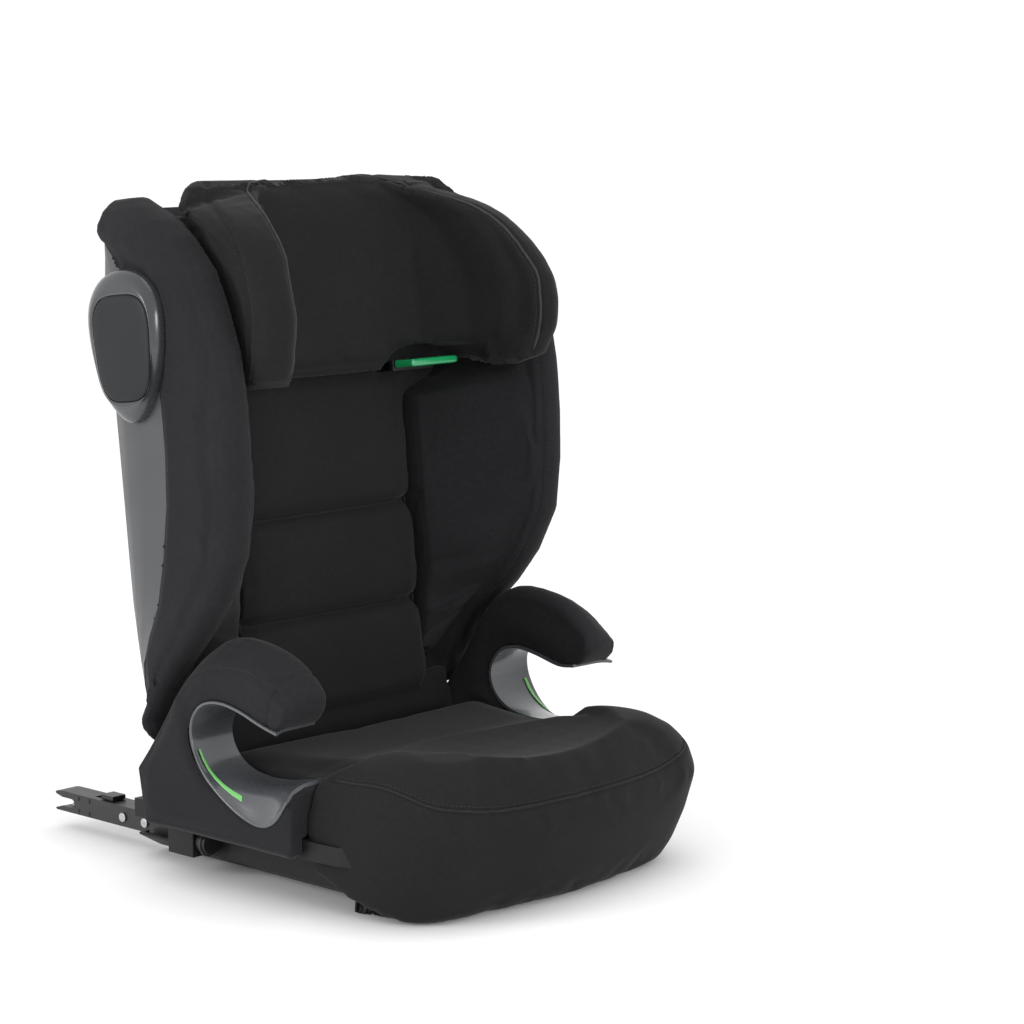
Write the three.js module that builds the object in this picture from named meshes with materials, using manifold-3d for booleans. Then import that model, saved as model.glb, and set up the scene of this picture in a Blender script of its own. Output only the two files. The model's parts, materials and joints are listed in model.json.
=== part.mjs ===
// High-back child booster seat: a padded base with hooked armrests and two
// sliding anchor connectors, and a lift-off, reclining backrest that carries a
// height-adjustable headrest.
//
// Units are millimetres. +Z is up, the child faces -Y, and the origin is on
// the floor in the middle plane, under the seat cushion.

import * as THREE from "three";
import { mergeVertices } from "three/addons/utils/BufferGeometryUtils.js";
import Module from "manifold-3d";

const wasm = await Module();
wasm.setup();

// ---------------------------------------------------------------- dimensions

const { lerp, smoothstep } = THREE.MathUtils;

const GAP = 0.4; // clearance between neighbouring solids
const WALL = 4; // moulded plastic wall

// backrest
const RECLINE = THREE.MathUtils.degToRad(6.5);
const HINGE = { y: 140, z: 60 };
const WING_OUT = 222; // half width over the wings
const PAD_HALF = 122; // half width of the centre pad
const PAD_FRONT = -72; // front of the centre pad, from the hinge
const PAD_THICK = 28;
const SHELL_FOOT = 52;
const SHELL_TOP = 548;

// headrest
const HEAD_HALF = 166;
const HEAD_FLARE = 189; // half width at the front of its wings
const HEAD_BACK = -77;
const HEAD_BAY = 172; // half width of the bay it slides in
const HEAD_FRONT = -98;

// base
const ARM_OUT = 220; // half width over the armrests
const ARM_IN = 170;
const SHELL_HALF = 203;
const DECK = 68; // top of the base shell
const SIDE_EDGE = 51; // lower edge of the sides
const SKIRT = { half: 172, rear: -60, front: -186 }; // the shell's front foot
const TRAY_HALF = 166;
const TRAY_REAR = 184;
const TRAY_FRONT = -104;

// anchor connectors
const ANCHOR_X = 140; // connectors are 280 apart, centre to centre
const ANCHOR = { wide: 24, low: 17.2, high: 37, front: 62, rear: 326 };
const SLOT = { z: 26.5, high: 8.6, deep: 24 };
const KNOB = { x: 179, z: 34, r: 10.5, front: 66, rear: 80 };

// ----------------------------------------------------------------- materials

function plastic(colour, roughness) {
  return new THREE.MeshStandardMaterial({ color: colour, roughness, metalness: 0 });
}

const FABRIC = plastic(0x232324, 0.95);
const FABRIC_EDGE = plastic(0x2d2e30, 0.95);
const FOAM = plastic(0x55565a, 0.9);
const SHELL = plastic(0x303338, 0.5);
const GREY = plastic(0x4a4d50, 0.45);
const BLACK = plastic(0x17181a, 0.55);
const GREEN = plastic(0x1f9a52, 0.4);
const LIME = plastic(0x6cc46c, 0.4);
const STEEL = new THREE.MeshStandardMaterial({ color: 0xa9abad, roughness: 0.35, metalness: 0.9 });
const BLACK_STEEL = new THREE.MeshStandardMaterial({ color: 0x1b1c1d, roughness: 0.45, metalness: 0.6 });

// ------------------------------------------------------------ solid helpers

// A closed geometry as a manifold-3d solid.
function toSolid(geometry) {
  const bare = geometry.clone();
  bare.deleteAttribute("normal");
  bare.deleteAttribute("uv");
  const merged = mergeVertices(bare, 1e-4);
  return new wasm.Manifold(
    new wasm.Mesh({
      numProp: 3,
      vertProperties: merged.attributes.position.array,
      triVerts: new Uint32Array(merged.index.array),
    }),
  );
}

// A manifold-3d solid back as a geometry.
function toGeometry(solid) {
  const mesh = solid.getMesh();
  const geometry = new THREE.BufferGeometry();
  geometry.setAttribute("position", new THREE.BufferAttribute(mesh.vertProperties, 3));
  geometry.setIndex(new THREE.BufferAttribute(mesh.triVerts, 1));
  return geometry;
}

function cut(geometry, ...tools) {
  return toGeometry(tools.reduce((left, tool) => left.subtract(toSolid(tool)), toSolid(geometry)));
}

function join(geometry, ...others) {
  return toGeometry(others.reduce((whole, other) => whole.add(toSolid(other)), toSolid(geometry)));
}

// The same geometry on the other side of the middle plane.
function mirrored(geometry) {
  const copy = geometry.index ? geometry.clone() : toGeometry(toSolid(geometry));
  copy.scale(-1, 1, 1);
  const index = copy.index.array;
  for (let i = 0; i < index.length; i += 3) {
    [index[i + 1], index[i + 2]] = [index[i + 2], index[i + 1]];
  }
  return copy;
}

// A box from its low corner to its high corner.
function block(low, high) {
  const size = high.map((h, i) => h - low[i]);
  const centre = high.map((h, i) => (h + low[i]) / 2);
  return new THREE.BoxGeometry(...size).translate(...centre);
}

// A cylinder along an axis letter, from one coordinate on it to another.
function rod(axis, radius, from, to, centre, sides = 20) {
  const made = new THREE.CylinderGeometry(radius, radius, to - from, sides);
  if (axis === "x") made.rotateZ(-Math.PI / 2);
  if (axis === "z") made.rotateX(Math.PI / 2);
  const middle = (from + to) / 2;
  const place = { x: [middle, ...centre], y: [centre[0], middle, centre[1]], z: [...centre, middle] };
  return made.translate(...place[axis]);
}

// A side-view outline, drawn in (y, z), made into a plate from x = from to x = to.
function sidePlate(shape, from, to, bevel = 0, curveSegments = 8) {
  const made = new THREE.ExtrudeGeometry(shape, {
    depth: to - from - 2 * bevel,
    bevelEnabled: bevel > 0,
    bevelThickness: bevel,
    bevelSize: bevel,
    bevelOffset: -bevel,
    bevelSegments: 2,
    curveSegments,
  });
  made.translate(0, 0, from + bevel);
  const axes = [[0, 1, 0], [0, 0, 1], [1, 0, 0]].map((a) => new THREE.Vector3(...a));
  return made.applyMatrix4(new THREE.Matrix4().makeBasis(...axes));
}

// A closed body through rings of points, stacked along an axis, with flat ends.
// All rings have the same count of points.
function loft(rings, axis = "z") {
  const [u, v] = { x: [1, 2], z: [0, 1] }[axis];
  const flat = (ring) => ring.map((p) => new THREE.Vector2(p[u], p[v]));
  const clockwise = THREE.ShapeUtils.area(flat(rings[0])) < 0;
  const turned = clockwise ? rings.map((ring) => [...ring].reverse()) : rings;
  const count = turned[0].length;
  const last = (turned.length - 1) * count;
  const index = [];
  for (let r = 0; r + 1 < turned.length; r++) {
    for (let i = 0; i < count; i++) {
      const a = r * count + i;
      const b = r * count + ((i + 1) % count);
      index.push(a, b, b + count, a, b + count, a + count);
    }
  }
  for (const [a, b, c] of THREE.ShapeUtils.triangulateShape(flat(turned[0]), [])) index.push(a, c, b);
  for (const [a, b, c] of THREE.ShapeUtils.triangulateShape(flat(turned.at(-1)), [])) {
    index.push(last + a, last + b, last + c);
  }
  const geometry = new THREE.BufferGeometry();
  geometry.setAttribute("position", new THREE.Float32BufferAttribute(turned.flat(2), 3));
  geometry.setIndex(index);
  return geometry;
}

// A smooth function through hand-set [at, value] stations.
function profile(stations) {
  const curve = new THREE.SplineCurve(stations.map(([at, value]) => new THREE.Vector2(at, value)));
  const steps = curve.getPoints(stations.length * 12);
  return (at) => {
    const next = steps.findIndex((p) => p.x >= at);
    if (next <= 0) return next === 0 ? steps[0].y : steps.at(-1).y;
    const [p, q] = [steps[next - 1], steps[next]];
    return lerp(p.y, q.y, (at - p.x) / (q.x - p.x));
  };
}

// Points of an arc in a flat [u, v] plane, ends included.
function arc(u, v, radius, fromDeg, toDeg, steps) {
  return Array.from({ length: steps + 1 }, (_, i) => {
    const a = THREE.MathUtils.degToRad(lerp(fromDeg, toDeg, i / steps));
    return [u + radius * Math.cos(a), v + radius * Math.sin(a)];
  });
}

// The right half of a section, followed by its mirror image, as one ring at a height.
function symmetricRing(half, z) {
  const right = half.map(([x, y]) => [x, y, z]);
  const left = half.map(([x, y]) => [-x, y, z]).reverse();
  return [...right, ...left];
}

// ------------------------------------------------------------ scene building

const booster = new THREE.Group();
const backrest = new THREE.Group();
backrest.position.set(0, HINGE.y, HINGE.z);
backrest.rotation.x = -RECLINE;
booster.add(backrest);

function part(group, name, geometry, material) {
  const mesh = new THREE.Mesh(geometry, material);
  mesh.name = name;
  group.add(mesh);
}

// The right-hand geometry under NAME_right, and its mirror image under NAME_left.
function pair(group, name, geometry, material) {
  part(group, `${name}_right`, geometry, material);
  part(group, `${name}_left`, mirrored(geometry), material);
}

// ----------------------------------------------------------- backrest curves

// Front edge of a wing, where its fabric ends on the outside, and its half
// width, all by height above the hinge.
const wingFront = profile([
  [66, -24], [80, -37], [128, -80], [174, -133], [228, -173], [298, -187],
  [368, -191], [421, -185], [492, -158], [535, -108], [560, -66],
]);
const wingSeam = profile([
  [66, -19], [100, -21], [112, -25], [130, -35], [145, -43], [189, -76], [279, -101],
  [369, -106], [450, -97], [468, -84], [487, -66], [503, -47], [516, -29],
]);
const wingSides = profile([[66, 212], [120, 218], [200, 222], [430, 222], [510, 218], [560, 206]]);

function wingOut(z) {
  return Math.min(WING_OUT, wingSides(z));
}

// Heights at which the shell and the wings are shaped.
const STEPS = [66, 82, 98, 115, 135, 160, 189, 230, 279, 325, 352, 360, 368, 377, 410, 450, 483, 516];

// The pad widens behind the headrest, and the wings give way to it.
function padHalf(z) {
  return lerp(PAD_HALF, HEAD_BAY, smoothstep(z, 350, 377));
}

const NOSE = 20; // radius of a wing's padded front edge
const SHOULDER = { x: 188, y: -10 };
const SPINE = { x: 108, y: 8 };
const PAD_BACK = PAD_FRONT + PAD_THICK;

// How far the shell's side has curved in towards its back, at each distance from the hinge.
const sideCurve = profile([
  [-90, 0], [-70, 0.8], [-55, 2.5], [-40, 6.5], [-30, 11], [-22, 17], [-16, 24], [-12, 32],
]);
const SIDE_ROWS = [0, 0.35, 0.6, 0.8, 0.92, 1];


// Points down the side from the height's seam to the shoulder, moved in by an offset.
function sideRows(z, from, to, offset) {
  return SIDE_ROWS.map((share) => {
    const y = lerp(from, to, share);
    return [wingOut(z) - sideCurve(y) - offset, y - Math.min(offset, (sideCurve(y) * offset) / 12)];
  });
}

function wingRing(z) {
  const out = wingOut(z);
  const front = wingFront(z);
  const seam = wingSeam(z);
  const turn = Math.min(front + NOSE, seam - 2);
  const nose = arc(out - NOSE, 0, NOSE, 0, -180, 6).map(([x, y]) => [x, turn + (y * (turn - front)) / NOSE]);
  const inner = Math.max(PAD_FRONT, front + 6);
  const side = [turn + 1, (turn + seam) / 2, seam].map((y) => [out - sideCurve(y), y]).reverse();
  const hidden = sideRows(z, seam, SHOULDER.y - 3, WALL + GAP + 1).reverse();
  return [
    ...side,
    ...nose,
    [padHalf(z) + 1.5, inner],
    [padHalf(z) + 1.5, Math.max(PAD_BACK, inner + 5)],
    ...hidden.map(([x, y]) => [x, y - 1.4]),
  ].map(([x, y]) => [x, y, z]);
}

function crownRing(z, shrink) {
  const out = wingOut(z) - shrink;
  const inner = HEAD_BAY + 1.5;
  const r = (out - inner) / 2;
  const back = SHOULDER.y - WALL - 5 - shrink;
  const turn = Math.min(wingFront(z) + shrink + NOSE, back - 24);
  const nose = arc(out - r, turn, r, 0, -180, 6);
  return [
    [out - 1, back - 7],
    [out, (back - 7 + turn + 1) / 2],
    [out, turn + 1],
    ...nose,
    [inner, turn + 6],
    [inner, back - 3],
    [inner + 3, back],
    ...[0.2, 0.4, 0.6, 0.8, 0.94].map((share) => [
      lerp(inner + 3, out - 1.5, share), back - 6 * share ** 4,
    ]),
  ].map(([x, y]) => [x, y, z]);
}

function shellRing(z) {
  const edge = Math.max(wingSeam(z) + GAP, wingFront(z));
  return symmetricRing([
    [SPINE.x, SPINE.y],
    ...sideRows(z, edge, SHOULDER.y - 1, 0).reverse(),
    ...sideRows(z, edge, SHOULDER.y - 1, WALL).map(([x, y], i) => [x, i ? y - 1 : y]),
    [SPINE.x - 1, SPINE.y - WALL],
  ], z);
}

// ------------------------------------------------------------------ backrest

const SIDES_TOP = STEPS.at(-1);
const HOOK = { x: 72, wide: 22, bore: 8, r: 15 };

function makeBackShell() {
  const bowl = loft(STEPS.map(shellRing));
  const plate = (low, high, half) => loft([low, high].map((z) => symmetricRing([
    [SPINE.x, SPINE.y],
    [half, SHOULDER.y],
    [half, SHOULDER.y - WALL],
    [SPINE.x - 1, SPINE.y - WALL],
  ], z)));
  const foot = block([-100, -20, 22], [100, SPINE.y, 70]);
  return join(bowl, plate(SIDES_TOP - 1, SHELL_TOP, 178), plate(SHELL_FOOT, 67, 180), foot);
}

// A hook that drops over the hinge bar's sleeve, open downwards.
function makeHook() {
  const { x, wide, bore, r } = HOOK;
  const sleeve = bore + 0.6;
  const body = join(
    rod("x", r, x - wide / 2, x + wide / 2, [0, 0]),
    block([x - wide / 2, -12, 0], [x + wide / 2, 8, 22 - GAP]),
  );
  return cut(
    body,
    rod("x", sleeve, x - wide, x + wide, [0, 0]),
    block([x - wide, -sleeve, -r - 2], [x + wide, sleeve, 0]),
  );
}

function makeWing() {
  const crown = [[532, 0], [546, 3], [556, 9]].map(([z, shrink]) => crownRing(z, shrink));
  const toe = [[58, 0.62], [63, 0.38], [71, 0.15]].map(([z, share]) => wingRing(82).map(([x, y]) => [
    lerp(x, 150 + (x - 150) * 0.7, share), lerp(y, -29, share), z,
  ]));
  return loft([...toe, ...STEPS.filter((z) => z > 80).map(wingRing), ...crown]);
}

// Front outline of the centre pad, wider behind the headrest.
function padOutline() {
  const heights = [82, 300, 352, 360, 368, 377, 538];
  const s = new THREE.Shape();
  const right = heights.map((z) => [padHalf(z), z]);
  const points = [[PAD_HALF - 12, 70], ...right, [HEAD_BAY - 8, 544]];
  const left = points.map(([x, z]) => [-x, z]).reverse();
  s.setFromPoints([...points, ...left].map((p) => new THREE.Vector2(...p)));
  return s;
}

// A front outline, drawn in (x, z), made into a plate from y = front to y = back.
function frontPlate(shape, front, back) {
  const made = new THREE.ExtrudeGeometry(shape, { depth: back - front, bevelEnabled: false, curveSegments: 8 });
  return made.rotateX(Math.PI / 2).translate(0, back, 0);
}

const SEAMS = [154, 250]; // channels sewn across the centre pad
const SKIRT_HALF = 158; // half width of the skirt that closes the gap above the seat

function makeBackPad() {
  const channels = SEAMS.map((z) => block([-200, PAD_FRONT - 1, z - 2], [200, PAD_FRONT + 4, z + 2]));
  const skirt = block([-SKIRT_HALF, PAD_FRONT + 10, 27], [SKIRT_HALF, PAD_BACK, 78]);
  return cut(join(frontPlate(padOutline(), PAD_FRONT, PAD_BACK), skirt), ...channels);
}

part(backrest, "back_shell", makeBackShell(), SHELL);
pair(backrest, "wing_pad", makeWing(), FABRIC_EDGE);
part(backrest, "back_pad", makeBackPad(), FABRIC);
pair(backrest, "hinge_hook", makeHook(), BLACK);

// side impact pods on the outside of the wings
const POD = { y: -73, z: 430, wide: 96, tall: 152, deep: 16 };

function makePod() {
  const outline = new THREE.Shape();
  const [w, t] = [POD.wide / 2, POD.tall / 2];
  outline.moveTo(POD.y - w, POD.z + t * 0.2);
  outline.bezierCurveTo(POD.y - w, POD.z + t, POD.y + w, POD.z + t, POD.y + w, POD.z + t * 0.2);
  outline.bezierCurveTo(POD.y + w, POD.z - t * 0.5, POD.y + w * 0.4, POD.z - t, POD.y, POD.z - t);
  outline.bezierCurveTo(POD.y - w * 0.4, POD.z - t, POD.y - w, POD.z - t * 0.5, POD.y - w, POD.z + t * 0.2);
  const behind = STEPS.filter((z) => z > 330).map((z) => [
    [100, -140],
    [WING_OUT + GAP, -140],
    ...[-92, -75, -60, -48, -38, -30, -23, -17].map((y) => [wingOut(z) - sideCurve(y) + GAP, y + GAP]),
    [100, 0],
  ].map(([x, y]) => [x, y, z]));
  return cut(sidePlate(outline, WING_OUT - 20, WING_OUT + POD.deep, 6, 6), loft(behind));
}

pair(backrest, "impact_pod", makePod(), GREY);

// guides for the headrest slider, and the notched strip its bolt locks into
const GUIDE = { x: 42, wide: 14, low: 150, high: 540 };
const SLIDER = { half: 48, front: -34, back: -25, low: 176 };

function makeGuide() {
  const { x, wide, low, high } = GUIDE;
  return cut(
    block([x, PAD_BACK + GAP, low], [x + wide, SPINE.y - WALL - GAP, high]),
    block([x - 1, SLIDER.front - 1, low - 1], [SLIDER.half + 1, SLIDER.back + 1, high + 1]),
  );
}

pair(backrest, "headrest_guide", makeGuide(), BLACK);

const RACK = { half: 12, front: -8, low: 168, high: 420, pitch: 18, notch: 9 };

function makeRack() {
  const bar = block([-RACK.half, RACK.front, RACK.low], [RACK.half, SPINE.y - WALL - GAP, RACK.high]);
  const notches = [];
  for (let i = 0; i < 11; i++) {
    const z = 203 + i * RACK.pitch;
    notches.push(block([-RACK.half + 3, RACK.front - 1, z], [RACK.half - 3, RACK.front + 6, z + RACK.notch]));
  }
  return cut(bar, ...notches);
}

part(backrest, "latch_rack", makeRack(), BLACK);
for (const [name, x, z] of [
  ["back_screw_low_left", -84, 130], ["back_screw_low_right", 84, 130],
  ["back_screw_high_left", -84, 470], ["back_screw_high_right", 84, 470],
]) {
  part(backrest, name, rod("y", 5, SPINE.y + GAP, SPINE.y + 3, [x, z], 12), STEEL);
}

// ------------------------------------------------------------------ headrest

// Front edge of the headrest's wings by height above the hinge.
const headFront = profile([
  [379, -196], [388, -211], [404, -221], [434, -227], [452, -225], [474, -214], [496, -195],
  [514, -173], [530, -149], [542, -127], [550, -108],
]);

const HEAD_NOSE = 19;

// The sewn ridge along the inside of a wing's front edge: it leans inwards
// over the top, where the two wings become one hood.
const RIDGE_LOW = 157; // half width between the ridges at the wings' foot
const ridgeHalf = profile([
  [379, RIDGE_LOW], [438, RIDGE_LOW], [460, 156], [485, 149], [515, 141],
  [528, 134], [540, 119], [552, 100], [567, 84],
]);
const ridgeAhead = profile([
  [379, 0], [460, 2], [485, 9], [515, 19], [528, 22], [540, 16], [552, 4], [567, 0],
]);

const HOOD_DROP = 14; // the hood's front shoulders are lower than its sewn ridge

// The wings flare once they are ahead of the backrest's own.
function headRing(z, shrink = 0) {
  const front = Math.min(headFront(z) + shrink, HEAD_FRONT - 8);
  const ahead = THREE.MathUtils.clamp((wingFront(Math.min(z, 560)) - front) / 16, 0, 1);
  const flare = lerp(HEAD_HALF + 6, HEAD_FLARE, ahead) - shrink;
  const turn = Math.min(front + HEAD_NOSE, HEAD_FRONT - 6);
  const lean = RIDGE_LOW - ridgeHalf(z);
  const tuck = HOOD_DROP * smoothstep(z, 515, 567);
  const nose = arc(flare - HEAD_NOSE, 0, HEAD_NOSE, 0, -180, 8).map(([x, y], i) => {
    const share = smoothstep(i, 1, 6);
    const ahead = (y * (turn - front)) / HEAD_NOSE - share * ridgeAhead(z);
    return [x - share * lean, turn + ahead, z - (1 - share) * tuck];
  });
  const inner = flare - 2 * HEAD_NOSE - lean;
  const bay = Math.min(106, inner - 26);
  const right = [
    [Math.min(90, bay - 6), HEAD_BACK, z],
    [146, HEAD_BACK - 1, z],
    [HEAD_HALF - shrink, HEAD_BACK - 15, z - tuck * 0.1],
    [lerp(HEAD_HALF, flare, 0.6), lerp(HEAD_BACK - 15, turn, 0.8), z - tuck * 0.5],
    ...nose,
    [lerp(bay + 6, inner, 0.62), lerp(HEAD_FRONT, turn, 0.45), z],
    [bay, HEAD_FRONT - 4 + shrink / 3, z],
    [bay - 30, HEAD_FRONT + shrink / 3, z],
  ];
  return [...right, ...right.map(([x, y, up]) => [-x, y, up]).reverse()];
}

function makeHeadPad() {
  const heights = [386, 398, 416, 434, 454, 474, 490, 505, 518, 530, 539, 546];
  const crown = [[552, 0.985, 0], [559, 0.95, 1], [564, 0.88, 2], [567, 0.76, 4]].map(([z, narrow, shrink]) =>
    headRing(z, shrink).map(([x, y, up]) => {
      const ahead = smoothstep(-y, 85, 135);
      return [x * lerp(1 - (1 - narrow) * 0.35, narrow, ahead), y, up];
    }));
  const whole = loft([headRing(379, 5), ...heights.map((z) => headRing(z)), ...crown]);
  return cut(whole, ...[-1, 1].map(beltMouth));
}

const BRIDGE = { low: 547, high: 560, half: 38 };

// The belt guides sit in mouths in the lower edge of the headrest's wings.
const BELT = { in: 78, out: 140, front: -128, back: -97, low: 380, high: 387.5 };

function beltMouth(side) {
  const mouth = new THREE.Shape();
  mouth.setFromPoints([
    [BELT.in - 4, 370], [BELT.in - 4, 388], [86, 397], [100, 400],
    [126, 400], [142, 396], [BELT.out + 13, 386], [BELT.out + 13, 370],
  ].map(([x, z]) => new THREE.Vector2(side * x, z)));
  return frontPlate(mouth, BELT.front - 30, BELT.back + 7);
}

function makeBeltGuide() {
  const bar = new THREE.Shape();
  const r = 9;
  bar.moveTo(BELT.in, BELT.front + 5);
  bar.lineTo(BELT.out - r, BELT.front);
  bar.absarc(BELT.out - r, BELT.front + r, r, -Math.PI / 2, 0, false);
  bar.lineTo(BELT.out, BELT.back);
  bar.lineTo(BELT.in, BELT.back);
  bar.closePath();
  const depth = BELT.high - BELT.low;
  const made = new THREE.ExtrudeGeometry(bar, { depth, bevelEnabled: false, curveSegments: 4 });
  return made.translate(0, 0, BELT.low);
}

// The black carrier behind the guide, tied up to the headrest's plate.
function makeBeltCarrier() {
  const rail = block([BELT.in, BELT.back + GAP, BELT.low - 3], [BELT.out - 8, BELT.back + 5, BELT.high]);
  const foot = block([BELT.in, BELT.back + GAP, BELT.low - 3], [BELT.in + 18, HEAD_BACK + 3, 379 - GAP]);
  const tie = block([BELT.in, HEAD_BACK + GAP, BELT.low - 3], [BELT.in + 18, HEAD_BACK + 3, 386 - GAP]);
  return join(rail, foot, tie);
}

function makeHeadShell() {
  const plate = block([-118, HEAD_BACK + GAP, 386], [118, PAD_FRONT - 1.4, BRIDGE.high]);
  const bridge = block([-BRIDGE.half, HEAD_BACK + GAP, BRIDGE.low], [BRIDGE.half, SLIDER.back, BRIDGE.high]);
  return join(plate, bridge);
}

function makeSlider() {
  return cut(
    block([-SLIDER.half, SLIDER.front, SLIDER.low], [SLIDER.half, SLIDER.back, BRIDGE.low - GAP]),
    block([-9, SLIDER.front - 1, 196], [9, SLIDER.back + 1, 222]),
  );
}

part(backrest, "headrest_shell", makeHeadShell(), SHELL);
part(backrest, "headrest_pad", makeHeadPad(), FABRIC);
part(backrest, "headrest_slider", makeSlider(), SHELL);
pair(backrest, "belt_guide", makeBeltGuide(), GREEN);
pair(backrest, "belt_guide_carrier", makeBeltCarrier(), BLACK);

// pull handle behind the top of the headrest, its rod and the locking bolt
const HANDLE = { half: 34, front: -22, back: -8, low: 538, high: 560 };

function makeHandle() {
  const { half, front, back, low, high } = HANDLE;
  const grip = cut(
    block([-half, front, low], [half, back, high]),
    block([-half + 8, front + 4, low - 1], [half - 8, back + 1, low + 12]),
  );
  return join(grip, block([-5, front + 2, 213], [5, front + 7, high - 4]));
}

part(backrest, "headrest_handle", makeHandle(), GREY);
part(backrest, "latch_bolt", block([-8, -33, 203], [8, RACK.front - 0.6, 211]), STEEL);

// ---------------------------------------------------------------------- base

// Side outline of an armrest, its mouth still filled. The top is lowered and
// the rear drawn in by the given amounts.
function armrestOutline(top, rear) {
  const s = new THREE.Shape();
  s.moveTo(118 - rear, SIDE_EDGE + rear * 0.3);
  s.lineTo(128 - rear, 103);
  s.bezierCurveTo(108 - rear, 128, 90 - rear, 152, 76 - rear, 180 - top * 0.3);
  s.bezierCurveTo(62 - rear, 210 - top, 38, 234 - top, 8, 234 - top);
  s.bezierCurveTo(-26, 234 - top, -56 + top * 0.4, 225 - top, -75 + top * 0.5, 205 - top * 0.7);
  s.bezierCurveTo(-87 + top * 0.4, 193 - top * 0.3, -83 + top * 0.3, 177, -64, 166);
  s.lineTo(-40, 140);
  s.lineTo(-82, 122);
  s.lineTo(-82, SIDE_EDGE + rear * 0.3);
  s.closePath();
  return s;
}

// Edge of the belt opening from the hook's tip round to the seat: on the
// armrest's inside, and on its outside where the opening flares.
const OPENING = {
  inner: [
    [-62, 163], [-42, 162], [-12, 169], [10, 172], [28, 169], [40, 159], [46, 146],
    [44, 132], [34, 119], [16, 110], [-8, 107], [-30, 108], [-52, 112], [-78, 118],
  ],
  outer: [
    [-67, 161], [-46, 166], [-16, 175], [8, 178], [28, 174], [40, 163], [44, 149],
    [40, 132], [27, 113], [6, 97], [-20, 84], [-44, 79], [-62, 86], [-78, 106],
  ],
};

const LINING = 3; // thickness of the opening's plastic lining

// The opening's edge a share of the way out, moved away from the opening by an offset.
function openingEdge(share, offset) {
  const points = OPENING.inner.map(([y, z], i) => new THREE.Vector2(
    lerp(y, OPENING.outer[i][0], share),
    lerp(z, OPENING.outer[i][1], share),
  ));
  const curve = new THREE.SplineCurve(points);
  return Array.from({ length: 27 }, (_, i) => {
    const t = i / 26;
    const along = curve.getTangent(t);
    const at = curve.getPoint(t);
    return [at.x + along.y * -offset, at.y + along.x * offset];
  });
}

// Shares of the flare at each distance from the middle plane.
const FLARE = [[ARM_IN, 0], [188, 0.01], [199, 0.08], [207, 0.22], [213, 0.44], [217, 0.69], [ARM_OUT, 1]];

// The opening as a solid to cut with, carried on past the armrest's faces.
function openingSolid(offset) {
  const levels = [[ARM_IN - 6, 0], ...FLARE.slice(1), [ARM_OUT + 6, 1.15]];
  return loft(levels.map(([x, share]) => {
    const edge = openingEdge(share, offset);
    return [[-150, edge[0][1] - 4], ...edge, [-150, edge.at(-1)[1] + 6]].map(([y, z]) => [x, y, z]);
  }), "x");
}

// The core stays out of the belt's way, and stands on the base shell.
const CORE = { in: 189, out: 200 };

function makeCore(clearance) {
  const outline = armrestOutline(16 - clearance, 11 - clearance);
  const blank = sidePlate(outline, CORE.in - clearance, CORE.out + clearance, 0, 5);
  return cut(blank, openingSolid(10 - clearance), block([0, -90, 0], [300, -60 - clearance, 300]));
}

// A plan outline with round front corners and a bowed front.
function footprint(half, rear, front, corner, bow) {
  const s = new THREE.Shape();
  s.moveTo(-half, rear);
  s.lineTo(-half, front + corner);
  s.quadraticCurveTo(-half, front + 5, -half + corner, front);
  s.quadraticCurveTo(0, front - 2 * bow, half - corner, front);
  s.quadraticCurveTo(half, front + 5, half, front + corner);
  s.lineTo(half, rear);
  s.closePath();
  return s;
}

function upright(shape, low, high) {
  const made = new THREE.ExtrudeGeometry(shape, { depth: high - low, bevelEnabled: false, curveSegments: 6 });
  return made.translate(0, 0, low);
}

// The base shell's deck, and its narrower front skirt that reaches the floor.
function shellBody(trim) {
  const wide = footprint(SHELL_HALF - trim, 146 - trim, -176 + trim, 78, 10);
  const narrow = footprint(SKIRT.half - trim, SKIRT.rear - trim, SKIRT.front + trim, 60, 10);
  const deck = upright(wide, SIDE_EDGE - Math.abs(trim), DECK - trim);
  const skirt = upright(narrow, 2 - Math.abs(trim), DECK - trim);
  const bevels = [-1, 1].map((side) => {
    const bevel = new THREE.Shape();
    bevel.setFromPoints([[SKIRT.half + 4, 30], [SKIRT.half - 22, -5], [260, -5], [260, 30]]
      .map(([x, z]) => new THREE.Vector2(side * (x - trim), z)));
    return frontPlate(bevel, SKIRT.front - 20, SKIRT.rear + 20);
  });
  return cut(join(deck, skirt), ...bevels);
}

function makeBaseShell() {
  const hingeRoom = block([-113, 116, SIDE_EDGE - 1], [113, 150, DECK + 1]);
  const open = block([-SKIRT.half - 1, TRAY_FRONT - 4, 0], [SKIRT.half + 1, 150, SIDE_EDGE]);
  const core = makeCore(0);
  return cut(join(shellBody(0), core, mirrored(core)), shellBody(WALL), open, hingeRoom);
}

// Rings of the armrest's outline from its inside to its outside: the top
// slopes down outwards from a crown.
function makeArmrestCover() {
  const levels = [
    [ARM_IN, 9, 3], [173, 4, 1], [178, 1, 0], [186, 0, 0], [196, 4, 0],
    [206, 10, 1], [214, 16, 3], [218, 20, 5], [ARM_OUT, 24, 8],
  ];
  const whole = loft(levels.map(([x, top, rear]) =>
    armrestOutline(top, rear).getPoints(6).slice(0, -1).map((p) => [x, p.x, p.y])), "x");
  const shellRoom = block([100, -240, 0], [SHELL_HALF + GAP, 147, DECK + GAP]);
  return cut(whole, openingSolid(LINING + GAP), makeCore(GAP), shellRoom);
}

// The cushion's outer form: rings of its plan outline, from the floor to the crown.
function cushionRing([sides, front, z]) {
  const shape = footprint(207 - sides, 72, -232 + front, 78, 11);
  return shape.getPoints(7).slice(0, -1).map((p) => [p.x, p.y, z]);
}

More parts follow.
